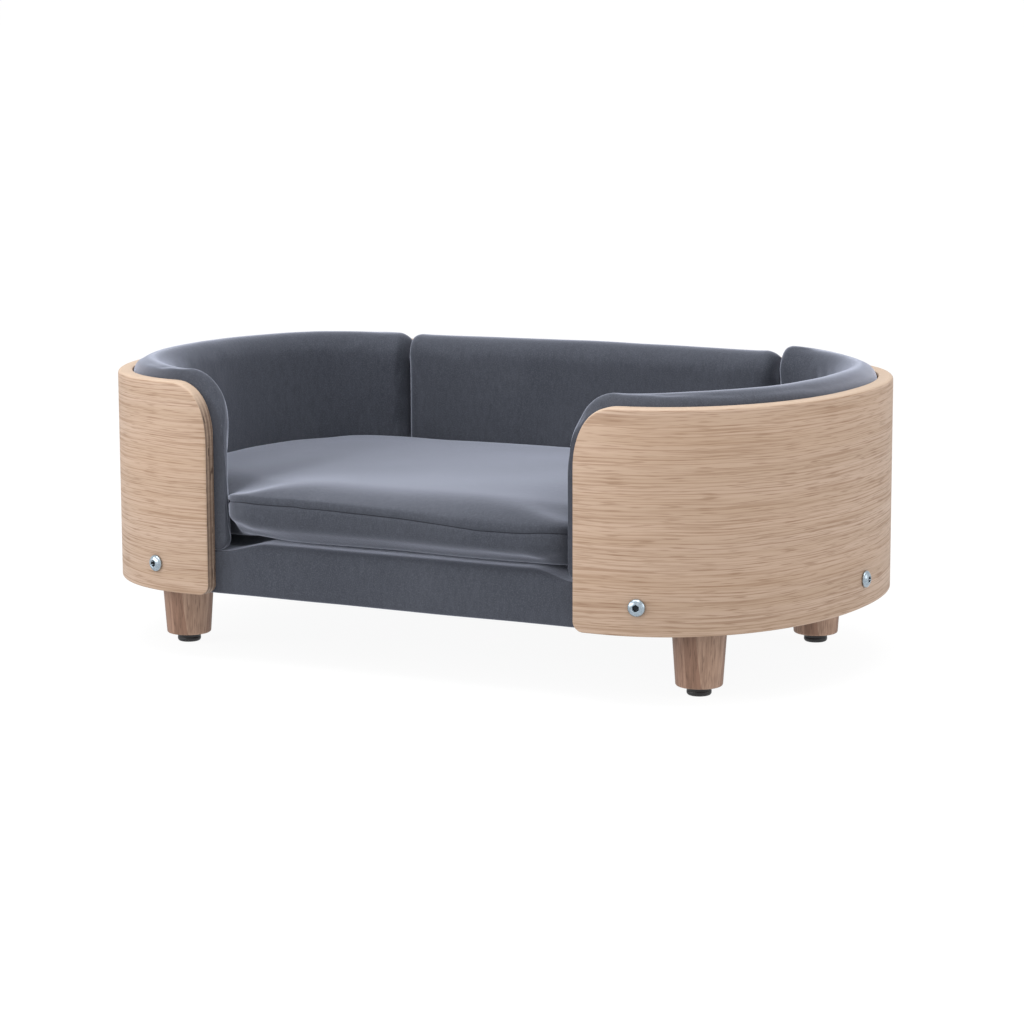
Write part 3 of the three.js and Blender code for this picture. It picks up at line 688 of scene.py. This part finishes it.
def finish_pad(obj, node_prefix, seed):
    wall = read_vectors(obj.data.attributes["wall"].data, "vector")
    inflate(obj, held_points(wall), most=PAD_SWELL)
    roughen(obj, scale=22, amount=0.35 * MM, seed=seed)
    subdivide(obj)
    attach(obj, "frame")
    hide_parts(f"{node_prefix}_cover", f"{node_prefix}_foam")
    return dress(obj, "velvet")


def side_pad(side, mirror, rear_crown, seed):
    front, back = front_run(PAD_TIP_X - PAD_REACH), back_run(BACK_PAD_HALF + NOTCH)
    stations = pad_stations(front, back, PAD_FRONT_CORNER[0], PAD_BACK_CORNER[0], count=90)
    along = smoothstep(0, PAD_TAPER, stations - front)
    full = PAD_TIP_THICKNESS + (PAD_THICKNESS - PAD_SLACK - PAD_TIP_THICKNESS) * along
    thickness = full * end_round(stations - front) * end_round(back - stations)
    crown = np.interp(stations / QUARTER, CROWN_PLACES, (*SIDE_CROWNS, rear_crown))
    crown = crown - corner_drop(stations - front, PAD_FRONT_CORNER)
    crown = crown - corner_drop(back - stations, PAD_BACK_CORNER)
    foot = PAD_BOTTOM + round_rise(stations - front, TIP_FOOT_RADIUS)
    sections = np.array([pad_section(*row) for row in zip(thickness, crown, foot)])
    obj = side_wall(f"{side}_pad", stations, sections, mirror)
    return finish_pad(obj, f"{side}_pad", seed)


def back_pad(seed):
    half, reach = BACK_PAD_HALF, PAD_BACK_CORNER[0]
    stations = pad_stations(-half, half, reach, reach, count=60)
    distance = half - np.abs(stations)
    thickness = (PAD_THICKNESS - PAD_SLACK) * end_round(distance)
    crown = np.interp(stations, [-half, 0, half], BACK_CROWNS)
    crown = crown - corner_drop(distance, PAD_BACK_CORNER)
    sections = [pad_section(t, c, PAD_BOTTOM) for t, c in zip(thickness, crown)]
    obj = back_wall("back_pad", stations, np.array(sections))
    return finish_pad(obj, "back_pad", seed)


# ---- Platform ----


PLATFORM_POINTS = 240
OPEN_HALF, ARM_HALF = 122 * MM, 166 * MM
LEDGE_OUTER, LEDGE_INNER = 44 * MM, 58 * MM  # the padding rises between these insets
EDGE_RADIUS, OPEN_EDGE_EXTRA = 2.5, 6.5  # mm: top edge, and more at the front
FOOT_RINGS = ((45, 0.0), (30, 0.0), (8, 0.0), (2.2, 0.1), (0.6, 0.8), (0.0, 2.2))  # mm: inset, rise
TOP_RINGS = (14, 20, 27, 32, 36, 40, 44, 50)  # mm of inset
WALL_BULGE, BULGE_HALF = 1.3 * MM, 165 * MM
SPINE_SHARES, PLATFORM_SPINE_HALF = (0.25, 0.5, 0.75, 0.95), 120 * MM


def bed_loop(count):
    """Points round the whole bed, anticlockwise: x, y, and the inward normal's x and y."""
    per_end = count // 2
    x, y, nx, ny = outline(np.linspace(-QUARTER, QUARTER, per_end))
    straight = np.linspace(-STRAIGHT_X, STRAIGHT_X, per_end // 2)[1:-1]
    flat = np.zeros_like(straight)
    front = (straight, flat - HALF_DEPTH, flat, flat + 1)
    rear = (straight[::-1], flat + HALF_DEPTH, flat, flat - 1)
    right, left = (x, y, nx, ny), (-x[::-1], y[::-1], -nx[::-1], ny[::-1])
    return np.array([np.concatenate(parts) for parts in zip(front, right, rear, left)])


def front_gate(x, y):
    """1 along the open front of the platform, falling to 0 at the arms and everywhere else."""
    return (1 - smoothstep(OPEN_HALF, ARM_HALF, np.abs(x))) * (y < -100 * MM)


def platform_top(x, y, inset):
    """Height of the platform's padding: full in the middle and at the front, low under the pads."""
    middle = smoothstep(LEDGE_OUTER, LEDGE_INNER, inset)
    return BASE_TOP - LEDGE_DROP * (1 - np.maximum(middle, front_gate(x, y)))


def platform_ring(loop, inset, z, bulge=0.0):
    """Ring that far in from the bed's outline. Bulge pushes out the middle of its front."""
    x, y, nx, ny = loop
    front_bulge = bulge * (1 - np.clip(np.abs(x) / BULGE_HALF, 0, 1) ** 2) * (y < -190 * MM)
    distance = inset - front_bulge
    return np.stack([x + nx * distance, y + ny * distance, z + 0 * x], 1)


def platform_rings(loop):
    """Rings from under the platform, up its sides and over its top."""
    x, y, nx, ny = loop
    top = platform_top(x, y, BASE_INSET + 10 * MM)
    edge_radius = (EDGE_RADIUS + OPEN_EDGE_EXTRA * front_gate(x, y)) * MM
    rings = []
    for inset, z in FOOT_RINGS:
        rings.append(platform_ring(loop, BASE_INSET + inset * MM, BASE_BOTTOM + z * MM))
    wall_low, wall_high = BASE_BOTTOM + FOOT_RINGS[-1][1] * MM, top - edge_radius
    for share in np.linspace(0, 1, 9)[1:]:
        bulge = WALL_BULGE * math.sin(math.pi * min(share, 0.96))
        rings.append(platform_ring(loop, BASE_INSET, wall_low + (wall_high - wall_low) * share, bulge))
    for angle in quarter_turn(8)[1:]:
        inset = BASE_INSET + edge_radius * (1 - math.cos(angle))
        rings.append(platform_ring(loop, inset, wall_high + edge_radius * math.sin(angle)))
    for extra in TOP_RINGS:
        inset = BASE_INSET + extra * MM
        rings.append(platform_ring(loop, inset, platform_top(x + nx * inset, y + ny * inset, inset)))
    last = rings[-1]
    spine_x = np.clip(last[:, 0], -PLATFORM_SPINE_HALF, PLATFORM_SPINE_HALF)
    spine = np.stack([spine_x, 0 * x, last[:, 2]], 1)
    return rings + [last + (spine - last) * share for share in SPINE_SHARES]


def platform():
    rings = platform_rings(bed_loop(PLATFORM_POINTS))
    points = np.concatenate(rings)
    obj = mesh_object("platform_cover", points, ring_faces(len(rings), len(rings[0])))
    roughen(obj, scale=14, amount=0.5 * MM, seed=9.0)
    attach(obj, "frame")
    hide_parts("base_cover", "base_foam")
    return dress(obj, "velvet")


# ---- Seat cushion ----


CUSHION_CLEARANCE = 1.5 * MM  # between the outline and the pads' faces
CORNER_RADIUS = 11 * MM


def pad_face_inset(run):
    """How far a side pad's face stands in from the bed's outline."""
    along = smoothstep(0, PAD_TAPER, run - front_run(PAD_TIP_X))
    return PAD_FACE + PAD_TIP_THICKNESS + (PAD_THICKNESS - PAD_TIP_THICKNESS) * along


def half_outline():
    """Right half of the cushion's plan outline, from mid-front to mid-rear."""
    run = np.linspace(-QUARTER + 12 * MM, QUARTER, 400)
    x, y, nx, ny = outline(run)
    inset = pad_face_inset(run) + CUSHION_CLEARANCE
    follow = np.stack([x + nx * inset, y + ny * inset], 1)
    tip_x = PAD_TIP_X - PAD_REACH - 0.5 * MM
    corner_x = tip_x - CORNER_RADIUS
    angle = quarter_turn(12)
    corner_y = -CUSHION_FRONT + CORNER_RADIUS * (1 - np.cos(angle))
    corner = np.stack([corner_x + CORNER_RADIUS * np.sin(angle), corner_y], 1)
    beside_tip = np.array([[tip_x + 1 * MM, follow[0, 1] - 5 * MM]])
    front = np.stack([np.linspace(0, corner_x, 100), np.full(100, -CUSHION_FRONT)], 1)
    rear = np.stack([np.linspace(STRAIGHT_X, 0, 100), np.full(100, follow[-1, 1])], 1)
    return np.concatenate([front, corner[1:], beside_tip, follow, rear[1:]])


def cushion_outline(count):
    """Plan outline of the cushion, evenly spaced and anticlockwise from its right end."""
    half = half_outline()
    lengths = np.concatenate([[0], np.cumsum(np.linalg.norm(np.diff(half, axis=0), axis=1))])
    even = np.linspace(0, lengths[-1], count // 2 + 1)
    right = np.stack([np.interp(even, lengths, half[:, k]) for k in (0, 1)], 1)
    for _ in range(3):
        right[1:-1] = (right[:-2] + 2 * right[1:-1] + right[2:]) / 4
    left = right[1:-1][::-1] * (-1, 1)
    loop = np.concatenate([right, left])
    return np.roll(loop, -int(np.argmax(loop[:, 0])), axis=0)


def loop_normals(loop):
    """Inward normals of an anticlockwise loop."""
    along = np.roll(loop, -1, 0) - np.roll(loop, 1, 0)
    along /= np.linalg.norm(along, axis=1, keepdims=True)
    return np.stack([-along[:, 1], along[:, 0]], 1)


SEAM_PLACES = (-160, -83, 11, 84, 160)  # mm along the front
SEAM_WANDER = (2.5, 3.7, 0.6, -3.6, -2.4)  # mm above its middle height there


def seam_height(x, y):
    """The seam round the cushion wanders a little up and down along its front."""
    wander = np.interp(x / MM, SEAM_PLACES, SEAM_WANDER) * MM
    return SEAM_Z + wander * (1 - smoothstep(-150 * MM, -60 * MM, y))


CUSHION_EDGE_TOP = 146 * MM
CUSHION_CROWN = 3 * MM
TOP_ROUNDING, BOTTOM_ROUNDING = 60 * MM, 16 * MM
SEAM_BAND = 6  # mm either side of the seam
SEAM_OFFSETS = (-SEAM_BAND, -3, -1.2, 0, 1.2, 3, SEAM_BAND)
SEAM_HALF = SEAM_OFFSETS.index(0)
SEAM_TUCK = 0.35  # mm that the band's edges lie further in
SPINE_HALF, SPINE_Y = 110 * MM, -22 * MM
CALM_PASSES = 140
FLOOR_SHARES = (0.93, 0.75, 0.55, 0.35, 0.16, 0.05, 0.0)
TOP_SHARES = (0.08, 0.18, 0.3, 0.42, 0.54, 0.66, 0.78, 0.9)


class CushionShell:
    """Rings of the cushion's cover, from the middle of its underside up to the middle of its top."""

    def __init__(self, count):
        self.loop = cushion_outline(count)
        spine_x = np.clip(self.loop[:, 0], -SPINE_HALF, SPINE_HALF)
        self.spine = np.stack([spine_x, np.full(count, SPINE_Y)], 1)
        self.reach = np.linalg.norm(self.spine - self.loop, axis=1, keepdims=True)
        self.seam = seam_height(self.loop[:, 0], self.loop[:, 1])
        self.calm = self.loop.copy()
        for _ in range(CALM_PASSES):
            self.calm = (np.roll(self.calm, 1, 0) + 2 * self.calm + np.roll(self.calm, -1, 0)) / 4
        self.rings = []
        self.floor_rows = []
        self.seam_row = None
        self.top_row = None

    def ring(self, inset, share, z, calm=0.0):
        """Adds a ring that far in from the outline, plus a share of the rest of the way to the spine.

        Calm blends from the true outline (0) to one with its corners smoothed away (1).
        """
        way = (self.spine - self.loop) / self.reach
        edge = self.loop + (self.calm - self.loop) * calm
        plan = edge + way * (inset + (self.reach - inset) * share)
        self.rings.append(np.column_stack([plan, z + 0 * self.seam]))


def cushion_shell(count):
    shell = CushionShell(count)
    bottom = CUSHION_BOTTOM - 0.3 * MM
    for share in FLOOR_SHARES:
        shell.floor_rows.append(len(shell.rings))
        shell.ring(BOTTOM_ROUNDING, share, bottom, calm=min(1, share * 3))
    depth = shell.seam - (SEAM_BAND + 1) * MM - bottom
    for angle in quarter_turn(9)[1:-1]:
        inset = BOTTOM_ROUNDING * (1 - math.sin(angle))
        shell.ring(inset, 0, bottom + depth * (1 - math.cos(angle)))
    shell.seam_row = len(shell.rings) + SEAM_HALF
    for offset in SEAM_OFFSETS:
        shell.ring(SEAM_TUCK * abs(offset) / SEAM_BAND * MM, 0, shell.seam + offset * MM)
    band_top = shell.seam + SEAM_BAND * MM
    rise = CUSHION_EDGE_TOP - band_top
    for angle in quarter_turn(12)[1:]:
        inset = SEAM_TUCK * MM + TOP_ROUNDING * (1 - math.cos(angle))
        shell.ring(inset, 0, band_top + rise * math.sin(angle), calm=math.sin(angle) ** 3)
    shell.top_row = len(shell.rings) - 1
    for share in TOP_SHARES:
        z = CUSHION_EDGE_TOP + CUSHION_CROWN * math.sin(share * math.pi / 2)
        shell.ring(TOP_ROUNDING, share, z, calm=1)
    return shell


SIDE_SWELL, FRONT_SWELL = 0.5 * MM, 5.5 * MM
FRONT_BULGE = 4.5 * MM


def open_front(shell):
    """1 where the cushion shows between the arms, falling to 0 beside their pads."""
    x, y = shell.loop[:, 0], shell.loop[:, 1]
    front = 1 - smoothstep(-186 * MM, -160 * MM, y)
    return front * (1 - smoothstep(128 * MM, 160 * MM, np.abs(x)))


def stop_inward(points, start, normals):
    """Undoes any movement inward."""
    change = np.einsum("rck,ck->rc", points[:, :, :2] - start[:, :, :2], -normals)
    points[:, :, :2] -= normals[None] * np.maximum(-change, 0)[:, :, None]


def limit_outward(points, start, normals, shell):
    """Keeps the sides near the outline, or a little past it at the open front."""
    outward = np.einsum("rck,ck->rc", points[:, :, :2] - shell.loop[None], -normals)
    start_outward = np.einsum("rck,ck->rc", start[:, :, :2] - shell.loop[None], -normals)
    below_seam = np.arange(len(points))[:, None] < shell.seam_row - SEAM_HALF
    allowed = SIDE_SWELL + FRONT_SWELL * open_front(shell)
    allowed = np.where(below_seam, start_outward + allowed * 0.8, allowed)
    points[:, :, :2] += normals[None] * np.maximum(outward - allowed, 0)[:, :, None]


def bulge_front(points, normals, shell):
    """Rounds the open front outward."""
    first, last = len(shell.floor_rows), shell.top_row - 2
    for row in range(first, last):
        push = FRONT_BULGE * math.sin(math.pi * ((row - first) / (last - first)) ** 0.7)
        points[row, :, :2] -= normals * (push * open_front(shell))[:, None]


def press_in(points, shell):
    """Keeps the swollen cushion full but between the pads; only its front may bulge out."""
    normals = loop_normals(shell.loop)
    start = np.array(shell.rings)
    stop_inward(points, start, normals)
    limit_outward(points, start, normals, shell)
    lower = slice(0, shell.seam_row)
    points[lower, :, 2] = np.maximum(points[lower, :, 2], start[lower, :, 2] - GAP)
    bulge_front(points, normals, shell)


SHOULDER_PASSES, EXTRA_PASSES = 2, 42
STITCH_PULLS = ((-2, 0.0), (-1, 0.4), (0, 2.2), (1, 0.4), (2, 0.0))  # rows from the seam, mm inward


def soften_shoulder(points, shell):
    """Rounds the cushion's upper edge along its length, more the higher it is."""
    first = shell.seam_row + SEAM_HALF + 1
    for row in range(first, shell.top_row + 1):
        height = (row - first) / (shell.top_row - first)
        for _ in range(SHOULDER_PASSES + int(EXTRA_PASSES * height**2)):
            ring = points[row]
            points[row] = (np.roll(ring, 1, 0) + 2 * ring + np.roll(ring, -1, 0)) / 4


def smooth_top(points, shell, passes=90):
    """Evens out the cushion's broad top."""
    for _ in range(passes):
        top = points[shell.top_row - 3 :]
        beyond = np.concatenate([top[1:], top[-1:, ::-1]])
        before = np.concatenate([top[:1], top[:-1]])
        around = np.roll(top, 1, 1) + np.roll(top, -1, 1)
        even = (around + beyond + before) / 4
        points[shell.top_row - 2 :] = even[1:]


def sew_seam(points, shell):
    """Pulls the seam in all round, a little unevenly, as the thread does."""
    normals = loop_normals(shell.loop)
    along = np.column_stack([shell.loop, np.zeros(len(shell.loop))])
    pucker = ripple(along, 160, 0.5 * MM, 3.0)
    for offset, depth in STITCH_PULLS:
        pull = depth * MM + pucker * (1.0 if offset else 0.6)
        points[shell.seam_row + offset, :, :2] += normals * pull[:, None]


EDGE_LIFT, LEFT_LIFT = 2.5, 5  # mm along the whole front, and more at its left


def lift_front_edge(flat):
    """The lower front edge of the cushion stands a little off the platform, most at its left."""
    left = smoothstep(90 * MM, 165 * MM, -flat[:, 0])
    low = 1 - smoothstep(106 * MM, 128 * MM, flat[:, 2])
    near_front = 1 - smoothstep(-178 * MM, -150 * MM, flat[:, 1])
    flat[:, 2] += (EDGE_LIFT + LEFT_LIFT * left) * MM * low * near_front


CUSHION_POINTS = 320
CUSHION_SWELL = 9 * MM


def cushion():
    count = CUSHION_POINTS
    shell = cushion_shell(count)
    rows = len(shell.rings)
    points = np.concatenate(shell.rings)
    obj = mesh_object("seat_cushion", points, ring_faces(rows, count))
    held = np.zeros((rows, count), bool)
    held[shell.floor_rows] = True
    inflate(obj, held.ravel(), most=CUSHION_SWELL)
    shaped = coordinates(obj).reshape(rows, count, 3)
    press_in(shaped, shell)
    soften_shoulder(shaped, shell)
    smooth_top(shaped, shell)
    sew_seam(shaped, shell)
    flat = shaped.reshape(-1, 3)
    lift_front_edge(flat)
    set_coordinates(obj, flat)
    roughen(obj, scale=13, amount=0.8 * MM, seed=2.0)
    settled = coordinates(obj)
    settled[:, 2] = np.maximum(settled[:, 2], BASE_TOP + GAP)
    set_coordinates(obj, settled)
    # Marks the seam row for the velvet's painted shade in the seam's groove.
    painted_seam_shade = np.zeros((rows, count), np.float32)
    painted_seam_shade[shell.seam_row] = 1
    obj.data.attributes.new("seam", "FLOAT", "POINT").data.foreach_set("value", painted_seam_shade.ravel())
    subdivide(obj)
    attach(obj, "cushion")
    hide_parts("cushion_cover", "cushion_foam")
    return dress(obj, "velvet")


# ---- Legs, glides and bolts ----


def full_turn(segments):
    return np.linspace(0, 2 * math.pi, segments, endpoint=False)


def circles(profile, angles):
    """Points of a ring about +Z for each radius and height."""
    rows = [(r * np.cos(angles), r * np.sin(angles), z + 0 * angles) for r, z in profile]
    return np.concatenate([np.stack(row, 1) for row in rows])


def turned_object(name, profile, angles):
    """Closed turned piece about +Z. Each radius may be a number, or one for every angle."""
    return mesh_object(name, circles(profile, angles), ring_faces(len(profile), len(angles)))


def arc_points(center, radius, start, end, steps):
    """Points on an arc between two angles in degrees."""
    angles = np.radians(np.linspace(start, end, steps))
    return [(center[0] + radius * math.cos(a), center[1] + radius * math.sin(a)) for a in angles]


LEG_TAPER = 3.4 * MM  # what the radius loses from top to bottom
LEG_EASE = 2 * MM


def leg(place):
    low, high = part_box(f"{place}_leg")
    middle = (low + high) / 2
    top_radius = (high.x - low.x) / 2
    bottom_radius = top_radius - LEG_TAPER
    height = high.z - low.z
    profile = [(2 * MM, 0), (bottom_radius - LEG_EASE - 2 * MM, 0)]
    profile += arc_points((bottom_radius - LEG_EASE, LEG_EASE), LEG_EASE, -90, 0, 6)
    for k in (0.25, 0.5, 0.75, 0.99):
        profile.append((bottom_radius + LEG_TAPER * k, LEG_EASE + (height - LEG_EASE) * k))
    profile += [(top_radius, height - 0.3 * MM), (top_radius - 0.5 * MM, height), (2 * MM, height)]
    obj = turned_object(f"{place}_leg_post", profile, full_turn(64))
    obj.location = (middle.x, middle.y, low.z)
    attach(obj, "frame")
    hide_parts(f"{place}_leg")
    sharpen(obj, 50)
    return dress(obj, "leg_wood")


GLIDE_EDGE = 2.4 * MM


def glide(place):
    low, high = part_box(f"{place}_glide")
    leg_low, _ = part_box(f"{place}_leg")
    radius = (high.x - low.x) / 2
    height = leg_low.z - low.z
    groove = 0.35 * MM
    profile = [(1 * MM, 0.3 * MM), (radius * 0.35, 0.3 * MM), (radius * 0.4, 0), (radius - 3.2 * MM, 0)]
    profile += arc_points((radius - GLIDE_EDGE, GLIDE_EDGE), GLIDE_EDGE, -80, 0, 8)
    ring = height * 0.55
    profile += [(radius, ring - 0.4 * MM), (radius - groove, ring - 0.15 * MM)]
    profile += [(radius - groove, ring + 0.15 * MM), (radius, ring + 0.4 * MM)]
    profile += [(radius, height - 0.8 * MM), (radius - 0.4 * MM, height - 0.2 * MM)]
    profile += [(radius - 1 * MM, height - 0.1 * MM), (1 * MM, height - 0.1 * MM)]
    obj = turned_object(f"{place}_glide_foot", profile, full_turn(64))
    obj.location = ((low.x + high.x) / 2, (low.y + high.y) / 2, low.z)
    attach(obj, "frame")
    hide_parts(f"{place}_glide")
    sharpen(obj, 40)
    return dress(obj, "black_plastic")


def hexagon(radius, angles):
    """Distance to the sides of a hexagon whose inscribed circle has that radius."""
    turn = np.mod(angles, math.pi / 3) - math.pi / 6
    return radius / np.cos(turn)


HEAD_RADIUS, SHANK_RADIUS = 7 * MM, 4 * MM
HEAD_RIM = 0.9 * MM  # height at which the head's dome begins
DOME_DEGREES = (12, 24, 36, 46, 55)
SOCKET_DEPTH = 2.6 * MM


def bolt_profile(length):
    """Radii and heights of the shank, the head's rim and its dome, from the tip up."""
    profile = [(0.5 * MM, -length), (3.4 * MM, -length)]
    profile += [(SHANK_RADIUS, -length + 0.6 * MM), (SHANK_RADIUS, 0)]
    profile += [(HEAD_RADIUS - 0.5 * MM, 0), (HEAD_RADIUS, 0.4 * MM), (HEAD_RADIUS, HEAD_RIM)]
    rise = BOLT_HEAD_HEIGHT - HEAD_RIM
    for angle in np.radians(DOME_DEGREES):
        profile.append((HEAD_RADIUS * math.cos(angle), HEAD_RIM + rise * math.sin(angle)))
    return profile


def bolt_mesh(name, length):
    """Button-head bolt with a hexagon socket. Its head stands on z = 0."""
    angles = full_turn(72)
    rows = bolt_profile(length)
    across = HEX_FLATS / 2
    deep = BOLT_HEAD_HEIGHT - SOCKET_DEPTH
    lip = BOLT_HEAD_HEIGHT - 0.05 * MM
    rows += [(hexagon(across + 0.35 * MM, angles), lip), (hexagon(across, angles), lip - 0.3 * MM)]
    rows += [(hexagon(across, angles), deep), (hexagon(across * 0.5, angles), deep - 0.2 * MM)]
    return turned_object(name, rows, angles)


def panel_bolt(node):
    points = np.array([v.co for v in frame["nodes"][node].data.vertices])
    center = points.mean(0)
    axis = np.linalg.svd(points - center)[2][0]
    axis[2] = 0
    axis /= np.linalg.norm(axis) * (-1 if np.dot(axis, center) < 0 else 1)
    tip = (points @ axis).max()
    length = tip - (points @ axis).min() - BOLT_HEAD_HEIGHT
    low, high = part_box(node)
    middle = np.array((low + high) / 2)
    base = middle + axis * (tip - BOLT_HEAD_HEIGHT - middle @ axis)
    obj = bolt_mesh(f"{node}_screw", length)
    turn = Vector(axis).to_track_quat("Z", "Y").to_matrix().to_4x4()
    spin = Matrix.Rotation(base[0] * 40, 4, "Z")  # each bolt stops at a different turn
    obj.matrix_world = Matrix.Translation(Vector(base)) @ turn @ spin
    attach(obj, "frame")
    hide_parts(node)
    sharpen(obj, 35)
    return dress(obj, "zinc_steel")


# ---- Assembly ----

for panel_side, panel_mirror in (("left", -1), ("right", 1)):
    sharpen(side_panel(f"{panel_side}_side_panel", panel_mirror), 40)
sharpen(back_panel(), 40)
side_pad("left", -1, 0.2440, 11.0)
side_pad("right", 1, 0.2500, 23.0)
back_pad(5.0)
platform()
cushion()

LEG_PLACES = ("front_left", "front_right", "rear_left", "rear_right")
for leg_place in LEG_PLACES:
    leg(leg_place)
    glide(leg_place)
for bolt_node in sorted(frame["nodes"]):
    if bolt_node.endswith("_bolt") and "hanger" not in bolt_node:
        panel_bolt(bolt_node)

# CAD nodes that stay as they are get their finish.
node_slots = {part["node"]: part["material_slot"] for part in frame["record"]["subparts"]}
for node_name, node_object in frame["nodes"].items():
    if not node_object.hide_render:
        node_object.data.materials.clear()
        node_object.data.materials.append(MATERIALS[node_slots[node_name]])

# ---- Stage, light and camera ----


def floor():
    """Pale floor that curves up far behind. It glows a little, so the bed's shadow stays faint."""
    profile = [(0.01, 0), (0.5, 0), (2, 0), (14, 0), (15.5, 0.6), (16, 2), (16, 9)]
    angles = full_turn(64)
    sides = ring_faces(len(profile), len(angles))[: (len(profile) - 1) * len(angles)]
    obj = mesh_object("floor", circles(profile, angles), sides + ladder(0, len(angles)))
    mat = Shader("floor", roughness=0.9, Specular_IOR_Level=0.0)
    mat.bsdf.inputs["Base Color"].default_value = (0.10, 0.10, 0.10, 1)
    mat.bsdf.inputs["Emission Color"].default_value = (1, 1, 1, 1)
    mat.bsdf.inputs["Emission Strength"].default_value = 0.93
    obj.data.materials.append(mat.material)
    obj.visible_diffuse = False
    obj.visible_glossy = False
    obj.visible_shadow = False


def area_light(name, place, target, size, power):
    data = bpy.data.lights.new(name, "AREA")
    data.shape = "RECTANGLE"
    data.size, data.size_y = size
    data.energy = power
    light = bpy.data.objects.new(name, data)
    light.location = place
    light.rotation_euler = (Vector(target) - Vector(place)).to_track_quat("-Z", "Y").to_euler()
    bpy.context.scene.collection.objects.link(light)


WORLD_BELOW, WORLD_ABOVE = 0.78, 0.80


def world():
    """Soft and nearly even light from all round."""
    made = bpy.data.worlds.new("studio")
    made.use_nodes = True
    tree = made.node_tree
    height = tree.nodes.new("ShaderNodeSeparateXYZ")
    place = tree.nodes.new("ShaderNodeTexCoord")
    ramp = tree.nodes.new("ShaderNodeMapRange")
    span = {"From Min": -0.5, "From Max": 0.9, "To Min": WORLD_BELOW, "To Max": WORLD_ABOVE}
    for socket, value in span.items():
        ramp.inputs[socket].default_value = value
    tree.links.new(place.outputs["Generated"], height.inputs[0])
    tree.links.new(height.outputs["Z"], ramp.inputs["Value"])
    tree.links.new(ramp.outputs[0], tree.nodes["Background"].inputs["Strength"])
    tree.nodes["Background"].inputs["Color"].default_value = (1, 1, 1, 1)
    bpy.context.scene.world = made


CAMERA_PLACE = (1.2207, -2.2806, 0.5200)
CAMERA_YAW, CAMERA_PITCH, CAMERA_ROLL = math.radians(27.953), math.radians(8.957), 0.0036
CAMERA_LENS = 107.24


def camera():
    data = bpy.data.cameras.new("camera")
    data.lens = CAMERA_LENS
    data.sensor_width = 36
    obj = bpy.data.objects.new("camera", data)
    bpy.context.scene.collection.objects.link(obj)
    turn = Matrix.Rotation(CAMERA_YAW, 4, "Z") @ Matrix.Rotation(math.pi / 2 - CAMERA_PITCH, 4, "X")
    obj.matrix_world = Matrix.Translation(CAMERA_PLACE) @ turn @ Matrix.Rotation(-CAMERA_ROLL, 4, "Z")
    bpy.context.scene.camera = obj


floor()
area_light("overhead", (0.0, -0.4, 1.9), (0, 0, 0.1), (1.8, 1.4), 24)
area_light("left_fill", (-2.0, -1.6, 0.9), (0, 0, 0.15), (1.2, 1.2), 14)
area_light("right_fill", (2.4, 0.1, 0.8), (0, 0, 0.15), (1.2, 1.2), 7)
area_light("front_fill", (-1.0, -2.6, 1.0), (0, 0, 0.15), (1.4, 1.0), 12)
world()
camera()
bpy.context.scene.view_settings.view_transform = "Standard"
